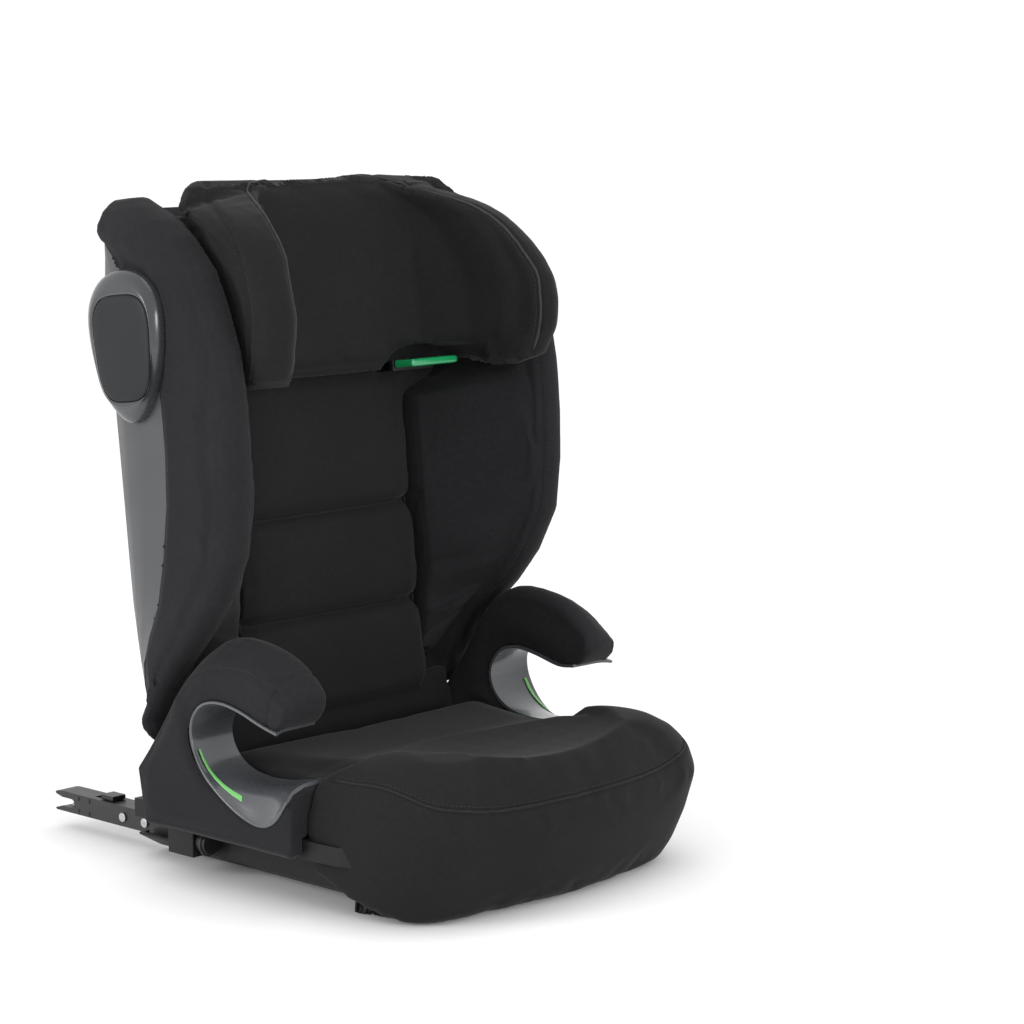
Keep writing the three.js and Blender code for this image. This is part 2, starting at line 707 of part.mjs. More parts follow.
function makeSeatCover() {
  const levels = [
    [28, 32, 3], [16, 23, 20], [7, 12, 48], [0, 1, 84],
    [5, 6, 108], [16, 18, 126], [32, 36, 136], [50, 56, 139],
  ];
  const whole = loft(levels.map(cushionRing));
  const foamRoom = block([-140, -168, DECK], [140, 50, DECK + 26]);
  const sides = [-1, 1].map((side) => block(
    [side < 0 ? -240 : ARM_IN - GAP, -82 - GAP, -1],
    [side < 0 ? -ARM_IN + GAP : 240, 160, 240],
  ));
  const dish = new THREE.SphereGeometry(1, 28, 14).scale(160, 235, 26).translate(0, 0, 140);
  const lap = new THREE.Shape();
  lap.moveTo(-110, 145);
  lap.bezierCurveTo(-92, 126, -74, 116, -40, 114);
  lap.lineTo(200, 110);
  lap.lineTo(200, 150);
  lap.lineTo(-110, 150);
  lap.closePath();
  const hem = new THREE.Shape();
  hem.moveTo(-78, 42);
  hem.lineTo(-176, -2);
  hem.lineTo(-78, -2);
  hem.closePath();
  const corners = [sidePlate(hem, SKIRT.half - 20, 240), sidePlate(hem, -240, 20 - SKIRT.half)];
  return cut(
    whole, shellBody(-GAP), block([-171, -96, -1], [171, 100, DECK]), foamRoom, dish,
    sidePlate(lap, -200, 200), ...corners, ...sides,
  );
}

part(booster, "base_shell", makeBaseShell(), SHELL);
pair(booster, "armrest_cover", makeArmrestCover(), FABRIC_EDGE);
part(booster, "seat_cover", makeSeatCover(), FABRIC);
part(booster, "seat_foam", block([-139, -167, DECK + GAP], [139, 49, DECK + 25]), FOAM);

// Lining of the armrest's opening, which guides the lap belt.
function makeBeltInsert() {
  return loft([...FLARE, [ARM_OUT + 1.6, 1.02]].map(([x, share]) => {
    const edge = openingEdge(share, 0);
    const back = openingEdge(share, LINING).reverse();
    return [...edge, ...back].map(([y, z]) => [x, y, z]);
  }), "x");
}

pair(booster, "belt_insert", makeBeltInsert(), GREY);

// Thin coloured strip that lies on the lining's flare.
function makeMarker() {
  return loft([[213, 0.44], [215.8, 0.615]].map(([x, share]) => {
    const edge = openingEdge(share, -GAP).slice(14, 21);
    const face = openingEdge(share, -1.4).slice(14, 21).reverse();
    return [...edge, ...face].map(([y, z]) => [x, y, z]);
  }), "x");
}

pair(booster, "belt_marker", makeMarker(), LIME);

// Bottom tray whose side walls hang from the shell, open at the back for the connectors.
function trayBody(trim) {
  const s = new THREE.Shape();
  const half = [[126, 0], [140, 5], [TRAY_HALF, 20]].map(([x, z]) => [x - trim, z + trim]);
  const right = [...half, [TRAY_HALF - trim, 22 + trim]];
  const left = right.map(([x, z]) => [-x, z]).reverse();
  s.setFromPoints([...right, ...left].map((p) => new THREE.Vector2(...p)));
  return frontPlate(s, TRAY_FRONT + trim, TRAY_REAR - trim);
}

function makeTray() {
  const mouth = block([-ANCHOR_X - 16, TRAY_REAR - 4, 14], [ANCHOR_X + 16, TRAY_REAR + 1, 40]);
  const nose = new THREE.Shape();
  nose.moveTo(TRAY_FRONT - 1, -1);
  nose.lineTo(TRAY_FRONT + 30, -1);
  nose.lineTo(TRAY_FRONT - 1, 14);
  const walls = [-1, 1].map((side) => block(
    [side * (TRAY_HALF - 1.5) - 1.5, TRAY_FRONT + 12, 18],
    [side * (TRAY_HALF - 1.5) + 1.5, 142 - WALL, DECK - WALL - GAP],
  ));
  return join(cut(trayBody(0), trayBody(3), mouth, sidePlate(nose, -200, 200)), ...walls);
}

part(booster, "underside_tray", makeTray(), GREY);
// cross member over the connectors, with the posts that carry the hinge bar
part(
  booster,
  "rear_frame",
  join(
    block([-156, 158, 43], [156, 178, 52]),
    ...[-1, 1].map((side) => cut(
      block([side * 96 - 7, 124, 43.2], [side * 96 + 7, 160, 74]),
      rod("x", 5.4, side * 96 - 9, side * 96 + 9, [HINGE.y, HINGE.z]),
    )),
  ),
  BLACK,
);
part(booster, "hinge_bar", rod("x", 5, -110, 110, [HINGE.y, HINGE.z], 24), STEEL);
pair(
  booster,
  "hinge_sleeve",
  cut(
    rod("x", HOOK.bore, HOOK.x - 10, HOOK.x + 10, [HINGE.y, HINGE.z], 24),
    rod("x", 5.35, HOOK.x - 11, HOOK.x + 11, [HINGE.y, HINGE.z], 24),
  ),
  GREY,
);

// --------------------------------------------------------- anchor connectors

// A box-section arm with a forked end, hollow where the jaw sits.
function makeAnchorArm() {
  const { wide, low, high, front, rear } = ANCHOR;
  const half = wide / 2;
  const outline = new THREE.Shape();
  outline.moveTo(front, low);
  outline.lineTo(rear - 2, low);
  outline.lineTo(rear, low + 1);
  outline.lineTo(rear, SLOT.z - SLOT.high / 2 - 3);
  outline.lineTo(rear - 10, SLOT.z - SLOT.high / 2);
  outline.lineTo(rear - SLOT.deep, SLOT.z - SLOT.high / 2);
  outline.absarc(rear - SLOT.deep, SLOT.z, SLOT.high / 2, -Math.PI / 2, Math.PI / 2, true);
  outline.lineTo(rear - 10, SLOT.z + SLOT.high / 2);
  outline.lineTo(rear, SLOT.z + SLOT.high / 2 + 2.5);
  outline.lineTo(rear, high - 2);
  outline.quadraticCurveTo(rear - 2, high, rear - 12, high);
  outline.lineTo(front, high);
  outline.closePath();
  const bar = sidePlate(outline, ANCHOR_X - half, ANCHOR_X + half, 0, 5);
  const hollow = block([ANCHOR_X - half + 3, rear - 96, low + 1.6], [ANCHOR_X + half - 3, rear + 1, high - 2.4]);
  const triggerSlot = block([ANCHOR_X - 5, rear - 84, high - 4], [ANCHOR_X + 5, rear - 52, high + 1]);
  const bumps = [[34, 6.5], [34, -6], [50, 6.5], [50, -6]].map(([back, up]) =>
    rod("x", 2.2, ANCHOR_X + half - 1, ANCHOR_X + half + 0.9, [rear - back, SLOT.z + up], 8));
  return join(cut(bar, hollow, triggerSlot), ...bumps);
}

const JAW = { back: 40, z: 21.4, long: 27, thick: 2, half: 3.4 };

function makeJaw() {
  const y = ANCHOR.rear - JAW.back;
  return cut(
    join(
      rod("x", 2.3, ANCHOR_X - JAW.half, ANCHOR_X + JAW.half, [y, JAW.z], 14),
      block(
        [ANCHOR_X - JAW.half, y, JAW.z - JAW.thick / 2],
        [ANCHOR_X + JAW.half, y + JAW.long, JAW.z + JAW.thick / 2],
      ),
    ),
    rod("x", 1.5, ANCHOR_X - 9, ANCHOR_X + 9, [y, JAW.z], 12),
  );
}

function makeTrigger() {
  const { high, rear } = ANCHOR;
  return join(
    block([ANCHOR_X - 4.4, rear - 82, high - 7], [ANCHOR_X + 4.4, rear - 64, high + 0.6]),
    block([ANCHOR_X - 8, rear - 82, high + 0.5], [ANCHOR_X + 8, rear - 64, high + 5]),
  );
}

function makeRail() {
  const bar = block([ANCHOR_X - 11, -60, ANCHOR.high + 0.8], [ANCHOR_X + 11, 152, ANCHOR.high + 5.4]);
  const notches = [];
  for (let i = 0; i < 8; i++) {
    const y = -46 + i * 24;
    notches.push(block([ANCHOR_X + 4, y, ANCHOR.high], [ANCHOR_X + 12, y + 9, ANCHOR.high + 6]));
  }
  return cut(bar, ...notches);
}

function makeHousing() {
  const { x, z, rear } = KNOB;
  const body = block([TRAY_HALF + GAP, rear - 2, z - 13], [x + 13, 112, z + 13]);
  const bore = rod("y", KNOB.r + 0.5, rear - 4, rear + 16, [x, z], 24);
  return cut(body, bore);
}

function makeKnob() {
  const { x, z, r, front, rear } = KNOB;
  return join(
    rod("y", r, front, rear + 7, [x, z], 24),
    rod("y", r + 1.8, front + 3, front + 6, [x, z], 24),
  );
}

pair(booster, "anchor_rail", makeRail(), STEEL);
pair(booster, "anchor_arm", makeAnchorArm(), BLACK_STEEL);
pair(booster, "anchor_jaw", makeJaw(), STEEL);
const pinAt = [ANCHOR.rear - JAW.back, JAW.z];
pair(booster, "jaw_pin", rod("x", 1.25, ANCHOR_X - 8.7, ANCHOR_X + 8.7, pinAt, 12), STEEL);
pair(booster, "anchor_trigger", makeTrigger(), BLACK);
for (const [i, back] of [102, 134].entries()) {
  const face = ANCHOR_X + ANCHOR.wide / 2;
  const rivet = rod("x", 4.6, face + GAP, face + 2, [ANCHOR.rear - back, SLOT.z], 14);
  pair(booster, `anchor_rivet_${i + 1}`, rivet, STEEL);
}
pair(booster, "release_housing", makeHousing(), GREY);
pair(booster, "release_knob", makeKnob(), BLACK);

export default booster;
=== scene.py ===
"""Looks of the high-back booster seat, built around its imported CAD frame.

Everything is in metres in the frame's own axes: +Z up, and the child faces -Y.
Shapes are given in millimetres and scaled by MM. Backrest and headrest shapes
use the backrest's own axes: x across, y to the rear and z up along the
backrest, from the recline hinge.
"""

import json
import math

import bmesh
import bpy
import numpy as np
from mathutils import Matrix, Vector
from mathutils.bvhtree import BVHTree


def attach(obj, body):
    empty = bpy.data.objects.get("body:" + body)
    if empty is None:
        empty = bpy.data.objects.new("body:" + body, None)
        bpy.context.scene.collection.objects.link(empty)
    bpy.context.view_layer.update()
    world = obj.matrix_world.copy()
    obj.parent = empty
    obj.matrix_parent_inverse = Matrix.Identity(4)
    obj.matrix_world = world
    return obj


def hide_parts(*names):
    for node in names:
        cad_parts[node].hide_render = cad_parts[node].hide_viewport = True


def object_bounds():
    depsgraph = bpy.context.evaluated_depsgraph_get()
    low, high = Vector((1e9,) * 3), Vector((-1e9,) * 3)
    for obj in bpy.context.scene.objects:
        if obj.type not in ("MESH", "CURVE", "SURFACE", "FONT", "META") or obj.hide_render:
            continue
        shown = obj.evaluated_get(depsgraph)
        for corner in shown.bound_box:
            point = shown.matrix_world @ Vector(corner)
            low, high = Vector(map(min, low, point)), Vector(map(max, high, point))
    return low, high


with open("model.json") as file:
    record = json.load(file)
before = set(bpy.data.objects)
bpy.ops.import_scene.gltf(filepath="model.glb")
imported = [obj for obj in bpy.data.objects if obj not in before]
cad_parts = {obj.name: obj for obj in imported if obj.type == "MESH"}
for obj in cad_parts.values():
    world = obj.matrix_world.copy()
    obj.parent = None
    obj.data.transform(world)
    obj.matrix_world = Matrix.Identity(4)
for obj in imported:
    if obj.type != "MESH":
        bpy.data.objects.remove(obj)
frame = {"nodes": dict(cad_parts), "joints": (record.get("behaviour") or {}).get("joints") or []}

MM = 0.001
CAD_LOW, CAD_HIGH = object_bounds()
NODES = frame["nodes"]
JOINTS = {joint["name"]: joint for joint in frame["joints"]}

# The backrest's axes, from its joints.
HINGE = Vector(JOINTS["recline"]["pos_m"])
BACK_UP = Vector(JOINTS["backrest_lift"]["axis"]).normalized()
BACK_REAR = Vector((0, BACK_UP.z, -BACK_UP.y))
SIDES = (("left", -1), ("right", 1))

# ------------------------------------------------------------------- camera

LENS = 105.47
CAMERA_AT = Vector((-1.9416, -1.9416, 0.7349))
AIM = Vector((0.7246, 0.6723, -0.1471))


def make_camera():
    camera = bpy.data.objects.new("camera", bpy.data.cameras.new("camera"))
    bpy.context.collection.objects.link(camera)
    camera.location = CAMERA_AT
    camera.rotation_euler = AIM.to_track_quat("-Z", "Y").to_euler()
    camera.data.lens = LENS
    camera.data.clip_end = 50
    bpy.context.scene.camera = camera


# ---------------------------------------------------------------- materials


# How far worn edges reach on plastic and on metal, and the edge mask's samples.
PLASTIC_WEAR_REACH = 0.7 * MM
METAL_WEAR_REACH = 0.5 * MM
EDGE_SAMPLES = 4
# Height of the threads, and depth of the other grains, under full bump.
THREAD_DEPTH = 0.25 * MM
PEBBLE_DEPTH = 0.06 * MM
PORE_DEPTH = 0.5 * MM
STREAK_DEPTH = 0.03 * MM


class Look:
    """A material whose nodes work in the object's own coordinates."""

    def __init__(self, name, **surface):
        self.material = bpy.data.materials.new(name)
        self.material.use_nodes = True
        self.tree = self.material.node_tree
        self.surface = self.tree.nodes["Principled BSDF"]
        for socket, value in surface.items():
            self.surface.inputs[socket.replace("_", " ")].default_value = value
        coordinates = self.node("ShaderNodeTexCoord")
        self.place = coordinates.outputs["Object"]
        self.facing = coordinates.outputs["Normal"]

    def node(self, kind, inputs=None, **settings):
        made = self.tree.nodes.new(kind)
        for name, value in settings.items():
            setattr(made, name, value)
        for name, value in (inputs or {}).items():
            self.set(made.inputs[name], value)
        return made

    def set(self, socket, value):
        if isinstance(value, bpy.types.NodeSocket):
            self.tree.links.new(value, socket)
        else:
            socket.default_value = value

    def math(self, operation, first, second=0.0):
        return self.node("ShaderNodeMath", {0: first, 1: second}, operation=operation).outputs[0]

    def noise(self, scale, detail=2.0, vector=None):
        inputs = {"Vector": vector or self.place, "Scale": scale, "Detail": detail}
        return self.node("ShaderNodeTexNoise", inputs).outputs["Fac"]

    def range(self, value, low, high, start=0.0, end=1.0):
        inputs = {"Value": value, "From Min": start, "From Max": end, "To Min": low, "To Max": high}
        return self.node("ShaderNodeMapRange", inputs).outputs["Result"]

    def blend(self, share, low, high):
        made = self.node("ShaderNodeMix", data_type="RGBA")
        self.set(made.inputs[0], share)
        self.set(made.inputs[6], low)
        self.set(made.inputs[7], high)
        return made.outputs[2]

    def stretched(self, x, y, z):
        scale = self.node("ShaderNodeVectorMath", {0: self.place, 1: (x, y, z)}, operation="MULTIPLY")
        return scale.outputs[0]

    def bump(self, height, strength, distance):
        inputs = {"Height": height, "Strength": strength, "Distance": distance}
        return self.node("ShaderNodeBump", inputs).outputs["Normal"]

    def edge(self, radius):
        """A mask of the object's worn edges: where the normals around a point differ most."""
        rounded = self.node("ShaderNodeBevel", {"Radius": radius}, samples=EDGE_SAMPLES).outputs[0]
        flat = self.node("ShaderNodeNewGeometry").outputs["Normal"]
        turn = self.node("ShaderNodeVectorMath", {0: rounded, 1: flat}, operation="DOT_PRODUCT")
        return self.range(turn.outputs["Value"], 1.0, 0.0, 0.55, 0.93)

    def finish(self, colour, roughness, normal=None):
        self.set(self.surface.inputs["Base Color"], colour)
        self.set(self.surface.inputs["Roughness"], roughness)
        if normal:
            self.set(self.surface.inputs["Normal"], normal)
        return self.material


def rgb(red, green, blue):
    return (red, green, blue, 1.0)


def shade(colour, factor):
    return rgb(*(channel * factor for channel in colour[:3]))


def weave(look, pitch):
    """Height of a plain weave laid on whichever plane the surface faces."""
    drift = look.node("ShaderNodeTexNoise", {"Vector": look.place, "Scale": 40.0, "Detail": 1.0})
    shifted = look.node(
        "ShaderNodeVectorMath",
        {0: drift.outputs["Color"], 1: (pitch, pitch, pitch), 2: look.place},
        operation="MULTIPLY_ADD",
    )
    axes = look.node("ShaderNodeSeparateXYZ", {0: shifted.outputs[0]}).outputs
    threads = [look.math("SINE", look.math("MULTIPLY", axes[i], math.pi / pitch)) for i in range(3)]
    crowns = [look.math("ABSOLUTE", thread) for thread in threads]
    facing = look.node("ShaderNodeSeparateXYZ", {0: look.facing}).outputs
    weights = [look.math("POWER", look.math("ABSOLUTE", facing[i]), 4.0) for i in range(3)]
    total = look.math("ADD", look.math("ADD", weights[0], weights[1]), weights[2])
    height = 0.0
    for flat, (u, v) in ((0, (1, 2)), (1, (0, 2)), (2, (0, 1))):
        over = look.math("GREATER_THAN", look.math("MULTIPLY", threads[u], threads[v]))
        crown = look.node("ShaderNodeMix", {0: over, 2: crowns[u], 3: crowns[v]}).outputs[0]
        share = look.math("DIVIDE", weights[flat], total)
        height = look.math("ADD", look.math("MULTIPLY", crown, share), height)
    return height


def fabric(name, colour, pitch=1.3 * MM, sheen=0.06, depth=0.25):
    """Matt woven cloth: threads, fuzz, slow shade changes and paler worn folds."""
    look = Look(name, Sheen_Weight=sheen, Sheen_Roughness=0.4, Specular_IOR_Level=0.12)
    threads = weave(look, pitch)
    fuzz = look.noise(1500.0, 3.0)
    mottle = look.noise(220.0, 4.0)
    slow = look.noise(9.0, 2.0)
    tone = look.math("MULTIPLY", look.range(threads, 0.74, 1.14), look.range(fuzz, 0.84, 1.16))
    tone = look.math("MULTIPLY", tone, look.range(mottle, 0.88, 1.12, 0.3, 0.7))
    tone = look.math("MULTIPLY", tone, look.range(slow, 0.9, 1.1, 0.3, 0.7))
    curve = look.node("ShaderNodeNewGeometry").outputs["Pointiness"]
    worn = look.range(curve, 0.0, 0.35, 0.51, 0.56)
    cloth = look.blend(tone, shade(colour, 0.0), colour)
    cloth.node.clamp_factor = False
    cloth = look.blend(worn, cloth, shade(colour, 1.5))
    height = look.math("ADD", threads, look.math("MULTIPLY", fuzz, 0.5))
    normal = look.bump(height, depth, THREAD_DEPTH)
    return look.finish(cloth, look.range(mottle, 0.82, 0.98), normal)


def plastic(name, colour, roughness, grain=0.35, coat=0.0, wear=1.5, shine=0.5):
    """Moulded plastic: pebbled grain, faint flow marks and paler rubbed edges."""
    look = Look(name, Coat_Weight=coat, Coat_Roughness=0.12, Specular_IOR_Level=shine)
    pebbles = look.node("ShaderNodeTexVoronoi", {"Vector": look.place, "Scale": 1100.0}).outputs["Distance"]
    cloud = look.noise(14.0, 3.0)
    scuffs = look.noise(1.0, 4.0, look.stretched(35, 90, 500))
    edges = look.edge(PLASTIC_WEAR_REACH)
    tone = look.math("MULTIPLY", look.range(cloud, 0.9, 1.1, 0.3, 0.7), look.range(pebbles, 0.93, 1.04))
    surface = look.blend(tone, rgb(0, 0, 0), colour)
    surface.node.clamp_factor = False
    rubbed = look.math("MULTIPLY", edges, look.range(scuffs, 0.1, 0.6, 0.35, 0.65))
    surface = look.blend(rubbed, surface, shade(colour, wear))
    rough = look.math("ADD", look.range(scuffs, -0.012, 0.018, 0.3, 0.7), roughness)
    normal = look.bump(pebbles, grain, PEBBLE_DEPTH)
    return look.finish(surface, rough, normal)


def foam(name, colour):
    """Open-cell foam: pores of mixed size."""
    look = Look(name, Sheen_Weight=0.1, Specular_IOR_Level=0.2)
    cells = look.node("ShaderNodeTexVoronoi", {"Vector": look.place, "Scale": 900.0}).outputs["Distance"]
    large = look.node("ShaderNodeTexVoronoi", {"Vector": look.place, "Scale": 260.0}).outputs["Distance"]
    pores = look.math("MULTIPLY", cells, look.range(large, 0.6, 1.2))
    surface = look.blend(look.range(pores, 0.0, 1.0, 0.1, 0.6), shade(colour, 0.4), colour)
    return look.finish(surface, look.range(large, 0.85, 1.0), look.bump(pores, 0.6, PORE_DEPTH))


def metal(name, colour, roughness, metallic=1.0, wear=1.6):
    """Plated or painted steel: drawn streaks along the part and brighter rubbed edges."""
    look = Look(name, Metallic=metallic, Specular_IOR_Level=0.5)
    streaks = look.noise(1.0, 4.0, look.stretched(900, 60, 900))
    spots = look.noise(120.0, 4.0)
    edges = look.edge(METAL_WEAR_REACH)
    streaked = look.range(streaks, 0.82, 1.12, 0.3, 0.7)
    tone = look.math("MULTIPLY", streaked, look.range(spots, 0.9, 1.08, 0.3, 0.7))
    surface = look.blend(tone, rgb(0, 0, 0), colour)
    surface.node.clamp_factor = False
    rubbed = look.math("MULTIPLY", edges, look.range(spots, 0.2, 1.0, 0.35, 0.6))
    surface = look.blend(rubbed, surface, shade(colour, wear))
    rough = look.math("ADD", look.range(streaks, -0.06, 0.08, 0.3, 0.7), roughness)
    return look.finish(surface, rough, look.bump(streaks, 0.25, STREAK_DEPTH))


def make_looks():
    """One material for each of the record's slots, and the extra tones that Blender's own pieces use."""
    charcoal = rgb(0.0125, 0.0125, 0.0132)
    side = rgb(0.0165, 0.0165, 0.0182)
    return {
        "fabric": fabric("fabric_seat", charcoal),
        "side_fabric": fabric("fabric_side", side),
        "piping": fabric("fabric_piping", rgb(0.04, 0.04, 0.043), 0.9 * MM, 0.1, 0.2),
        "dark_piping": fabric("fabric_dark_piping", rgb(0.019, 0.019, 0.0205), 0.9 * MM, 0.06, 0.2),
        "thread": fabric("sewing_thread", rgb(0.026, 0.026, 0.028), 0.5 * MM, 0.1, 0.2),
        "foam": foam("foam_grey", rgb(0.09, 0.09, 0.1)),
        "shell_plastic": plastic("plastic_shell", rgb(0.046, 0.048, 0.052), 0.4),
        "base_plastic": plastic("plastic_base", rgb(0.0115, 0.012, 0.013), 0.5, shine=0.22),
        "grey_plastic": plastic("plastic_grey", rgb(0.06, 0.064, 0.07), 0.28, 0.02, 0.5, 1.1),
        "pod_rim": plastic("plastic_pod_rim", rgb(0.032, 0.034, 0.038), 0.27, 0.04, 0.5, shine=0.4),
        "pod_face": plastic("plastic_pod_face", rgb(0.0115, 0.0125, 0.0145), 0.48, 0.15, shine=0.22),
        "black_plastic": plastic("plastic_black", rgb(0.009, 0.009, 0.01), 0.4, 0.3, 0.0, 2.2),
        "green_plastic": plastic("plastic_green", rgb(0.01, 0.27, 0.09), 0.18, 0.08, 0.9, 1.3),
        "green_strip": plastic("plastic_light_green", rgb(0.16, 0.5, 0.13), 0.35, 0.1, 0.2, 1.2),
        "steel": metal("steel_zinc", rgb(0.48, 0.49, 0.5), 0.3),
        "black_steel": metal("steel_black", rgb(0.011, 0.0115, 0.0125), 0.4, 0.0, 3.0),
    }


LOOKS = make_looks()

# ------------------------------------------------------------ mesh helpers


def on_back(x, y, z):
    """A point in the backrest's axes, millimetres, as a point of the frame."""
    return HINGE + Vector((x * MM, 0, 0)) + BACK_REAR * (y * MM) + BACK_UP * (z * MM)


def in_frame(x, y, z):
    return Vector((x, y, z)) * MM


def back_axes(points):
    """The frame's points as x, y and z in the backrest's axes, in millimetres."""
    offset = points - np.array(HINGE)
    return points[:, 0] / MM, offset @ np.array(BACK_REAR) / MM, offset @ np.array(BACK_UP) / MM


def add_object(name, mesh, look):
    made = bpy.data.objects.new(name, mesh)
    bpy.context.collection.objects.link(made)
    mesh.materials.clear()
    mesh.materials.append(LOOKS[look])
    return made


def mesh_from(name, points, faces):
    mesh = bpy.data.meshes.new(name)
    mesh.from_pydata([tuple(point) for point in points], [], faces)
    mesh.update()
    return mesh


def solid_from(name, points, faces):
    """A closed, smooth-shaded mesh whose normals point outwards."""
    mesh = mesh_from(name, points, faces)
    work = bmesh.new()
    work.from_mesh(mesh)
    bmesh.ops.recalc_face_normals(work, faces=work.faces)
    work.to_mesh(mesh)
    work.free()
    shade_smooth(mesh)
    return mesh


def read_points(mesh, what="co"):
    values = np.empty(len(mesh.vertices) * 3, np.float32)
    mesh.vertices.foreach_get(what, values)
    return values.reshape(-1, 3).astype(float)


def write_points(mesh, points):
    mesh.vertices.foreach_set("co", points.astype(np.float32).ravel())
    mesh.update()


def shade_smooth(mesh):
    mesh.polygons.foreach_set("use_smooth", [True] * len(mesh.polygons))


def apply_modifiers(piece):
    shown = piece.evaluated_get(bpy.context.evaluated_depsgraph_get())
    mesh = bpy.data.meshes.new_from_object(shown)
    piece.modifiers.clear()
    piece.data = mesh


def welded_copy(name):
    """A closed copy of a CAD node's mesh."""
    mesh = NODES[name].data.copy()
    work = bmesh.new()
    work.from_mesh(mesh)
    bmesh.ops.remove_doubles(work, verts=work.verts, dist=0.001 * MM)
    work.to_mesh(mesh)
    work.free()
    return mesh


def surface_tree(*names):
    """A search tree over the surfaces of CAD nodes."""
    points, faces = [], []
    for name in names:
        mesh = NODES[name].data
        first = len(points)
        points += [vertex.co.copy() for vertex in mesh.vertices]
        faces += [[first + i for i in polygon.vertices] for polygon in mesh.polygons]
    return BVHTree.FromPolygons(points, faces)


def smoothstep(value, low, high):
    share = np.clip((value - low) / (high - low), 0, 1)
    return share * share * (3 - 2 * share)


def relax(mesh, rounds, shrink=0.5, swell=-0.52):
    """Smooths away the voxels' steps, and keeps the volume."""
    pairs = np.empty(len(mesh.edges) * 2, np.int32)
    mesh.edges.foreach_get("vertices", pairs)
    first, second = pairs.reshape(-1, 2).T
    points = read_points(mesh)
    count = len(points)
    links = np.bincount(first, minlength=count) + np.bincount(second, minlength=count)
    for step in range(rounds * 2):
        sums = np.empty_like(points)
        for axis in range(3):
            sums[:, axis] = np.bincount(first, points[second, axis], count)
            sums[:, axis] += np.bincount(second, points[first, axis], count)
        factor = swell if step % 2 else shrink
        points += factor * (sums / links[:, None] - points)
    write_points(mesh, points)


CURVE_STEPS = 24


def curve_points(controls, step=1.5 * MM):
    """Even steps along a smooth curve through the control points."""
    knots = np.array([tuple(point) for point in controls])
    padded = np.vstack([2 * knots[0] - knots[1], knots, 2 * knots[-1] - knots[-2]])
    fine = []
    for i in range(len(knots) - 1):
        a, b, c, d = padded[i : i + 4]
        square = 2 * a - 5 * b + 4 * c - d
        cube = 3 * b - a - 3 * c + d
        for t in np.linspace(0, 1, CURVE_STEPS, endpoint=False):
            fine.append(0.5 * (2 * b + (c - a) * t + square * t**2 + cube * t**3))
    fine = np.array(fine + [knots[-1]])
    along = np.concatenate([[0], np.cumsum(np.linalg.norm(np.diff(fine, axis=0), axis=1))])
    even = np.linspace(0, along[-1], max(3, int(along[-1] / step)))
    return np.stack([np.interp(even, along, fine[:, axis]) for axis in range(3)], 1)


def averaged(values, reach):
    """Each row replaced by the mean of its neighbours along the path."""
    kernel = np.ones(2 * reach + 1) / (2 * reach + 1)
    ends = np.pad(values, ((reach, reach), (0, 0)), mode="edge")
    return np.stack([np.convolve(ends[:, axis], kernel, "valid") for axis in range(3)], 1)


def unit(vectors):
    return vectors / np.maximum(np.linalg.norm(vectors, axis=1, keepdims=True), 1e-9)


class Surface:
    """A soft piece's finished surface, to lay seams on."""

    def __init__(self, piece):
        self.tree = BVHTree.FromObject(piece, bpy.context.evaluated_depsgraph_get())

    def lay(self, points, reach=1):
        """The points drawn onto the surface by evenly changing amounts, and its smoothed normals there."""
        hits = [self.tree.find_nearest(Vector(point)) for point in points]
        normals = unit(averaged(np.array([tuple(hit[1]) for hit in hits]), 3))
        moves = np.array([tuple(hit[0]) for hit in hits]) - points
        return points + averaged(moves, reach), normals


def ring_strip(rings, sides):
    """Faces that join rings of equal point counts into a tube with closed ends."""
    faces = []
    for ring in range(rings - 1):
        here = ring * sides
        ahead = here + sides
        for side in range(sides):
            turn = (side + 1) % sides
            faces.append((here + side, here + turn, ahead + turn, ahead + side))
    faces.append(tuple(reversed(range(sides))))
    faces.append(tuple((rings - 1) * sides + side for side in range(sides)))
    return faces


def tube(name, path, normals, radius, look, sides=8):
    """A round cord along the path, tapered into the surface at its ends."""
    along = unit(np.gradient(path, axis=0))
    across = unit(np.cross(along, normals))
    upward = np.cross(across, along)
    taper = np.minimum(np.arange(len(path)), np.arange(len(path))[::-1]) / 4
    widths = radius * np.clip(taper, 0.15, 1)[:, None]
    points = []
    for side in range(sides):
        angle = 2 * math.pi * side / sides
        points.append(path + widths * (math.cos(angle) * across + math.sin(angle) * upward))
    points = np.stack(points, 1).reshape(-1, 3)
    mesh = mesh_from(name, points, ring_strip(len(path), sides))
    shade_smooth(mesh)
    return add_object(name, mesh, look)


def stitch_row(name, path, normals, look, pitch=4.2 * MM, length=3.0 * MM, radius=0.38 * MM):
    """Separate thread stitches along the path, each dipping into the cloth at its ends."""
    along = unit(np.gradient(path, axis=0))
    across = unit(np.cross(along, normals))
    travel = np.concatenate([[0], np.cumsum(np.linalg.norm(np.diff(path, axis=0), axis=1))])
    points, faces = [], []
    sides, shares = 6, (-0.5, -0.3, 0.0, 0.3, 0.5)
    for start in np.arange(pitch, travel[-1] - pitch, pitch):
        first = len(points)
        for share in shares:
            where = start + share * length
            middle, side, up = (
                np.array([np.interp(where, travel, values[:, axis]) for axis in range(3)])
                for values in (path, across, normals)
            )
            arch = 1 - (2 * share) ** 2
            middle = middle + up * radius * (0.9 * arch - 0.4)
            for corner in range(sides):
                angle = 2 * math.pi * corner / sides
                offset = math.cos(angle) * side + math.sin(angle) * up
                points.append(middle + offset * radius * (0.45 + 0.55 * arch))
        faces += [tuple(first + i for i in face) for face in ring_strip(len(shares), sides)]
    mesh = mesh_from(name, points, faces)
    shade_smooth(mesh)
    return add_object(name, mesh, look)


# -------------------------------------------------------------- soft pieces


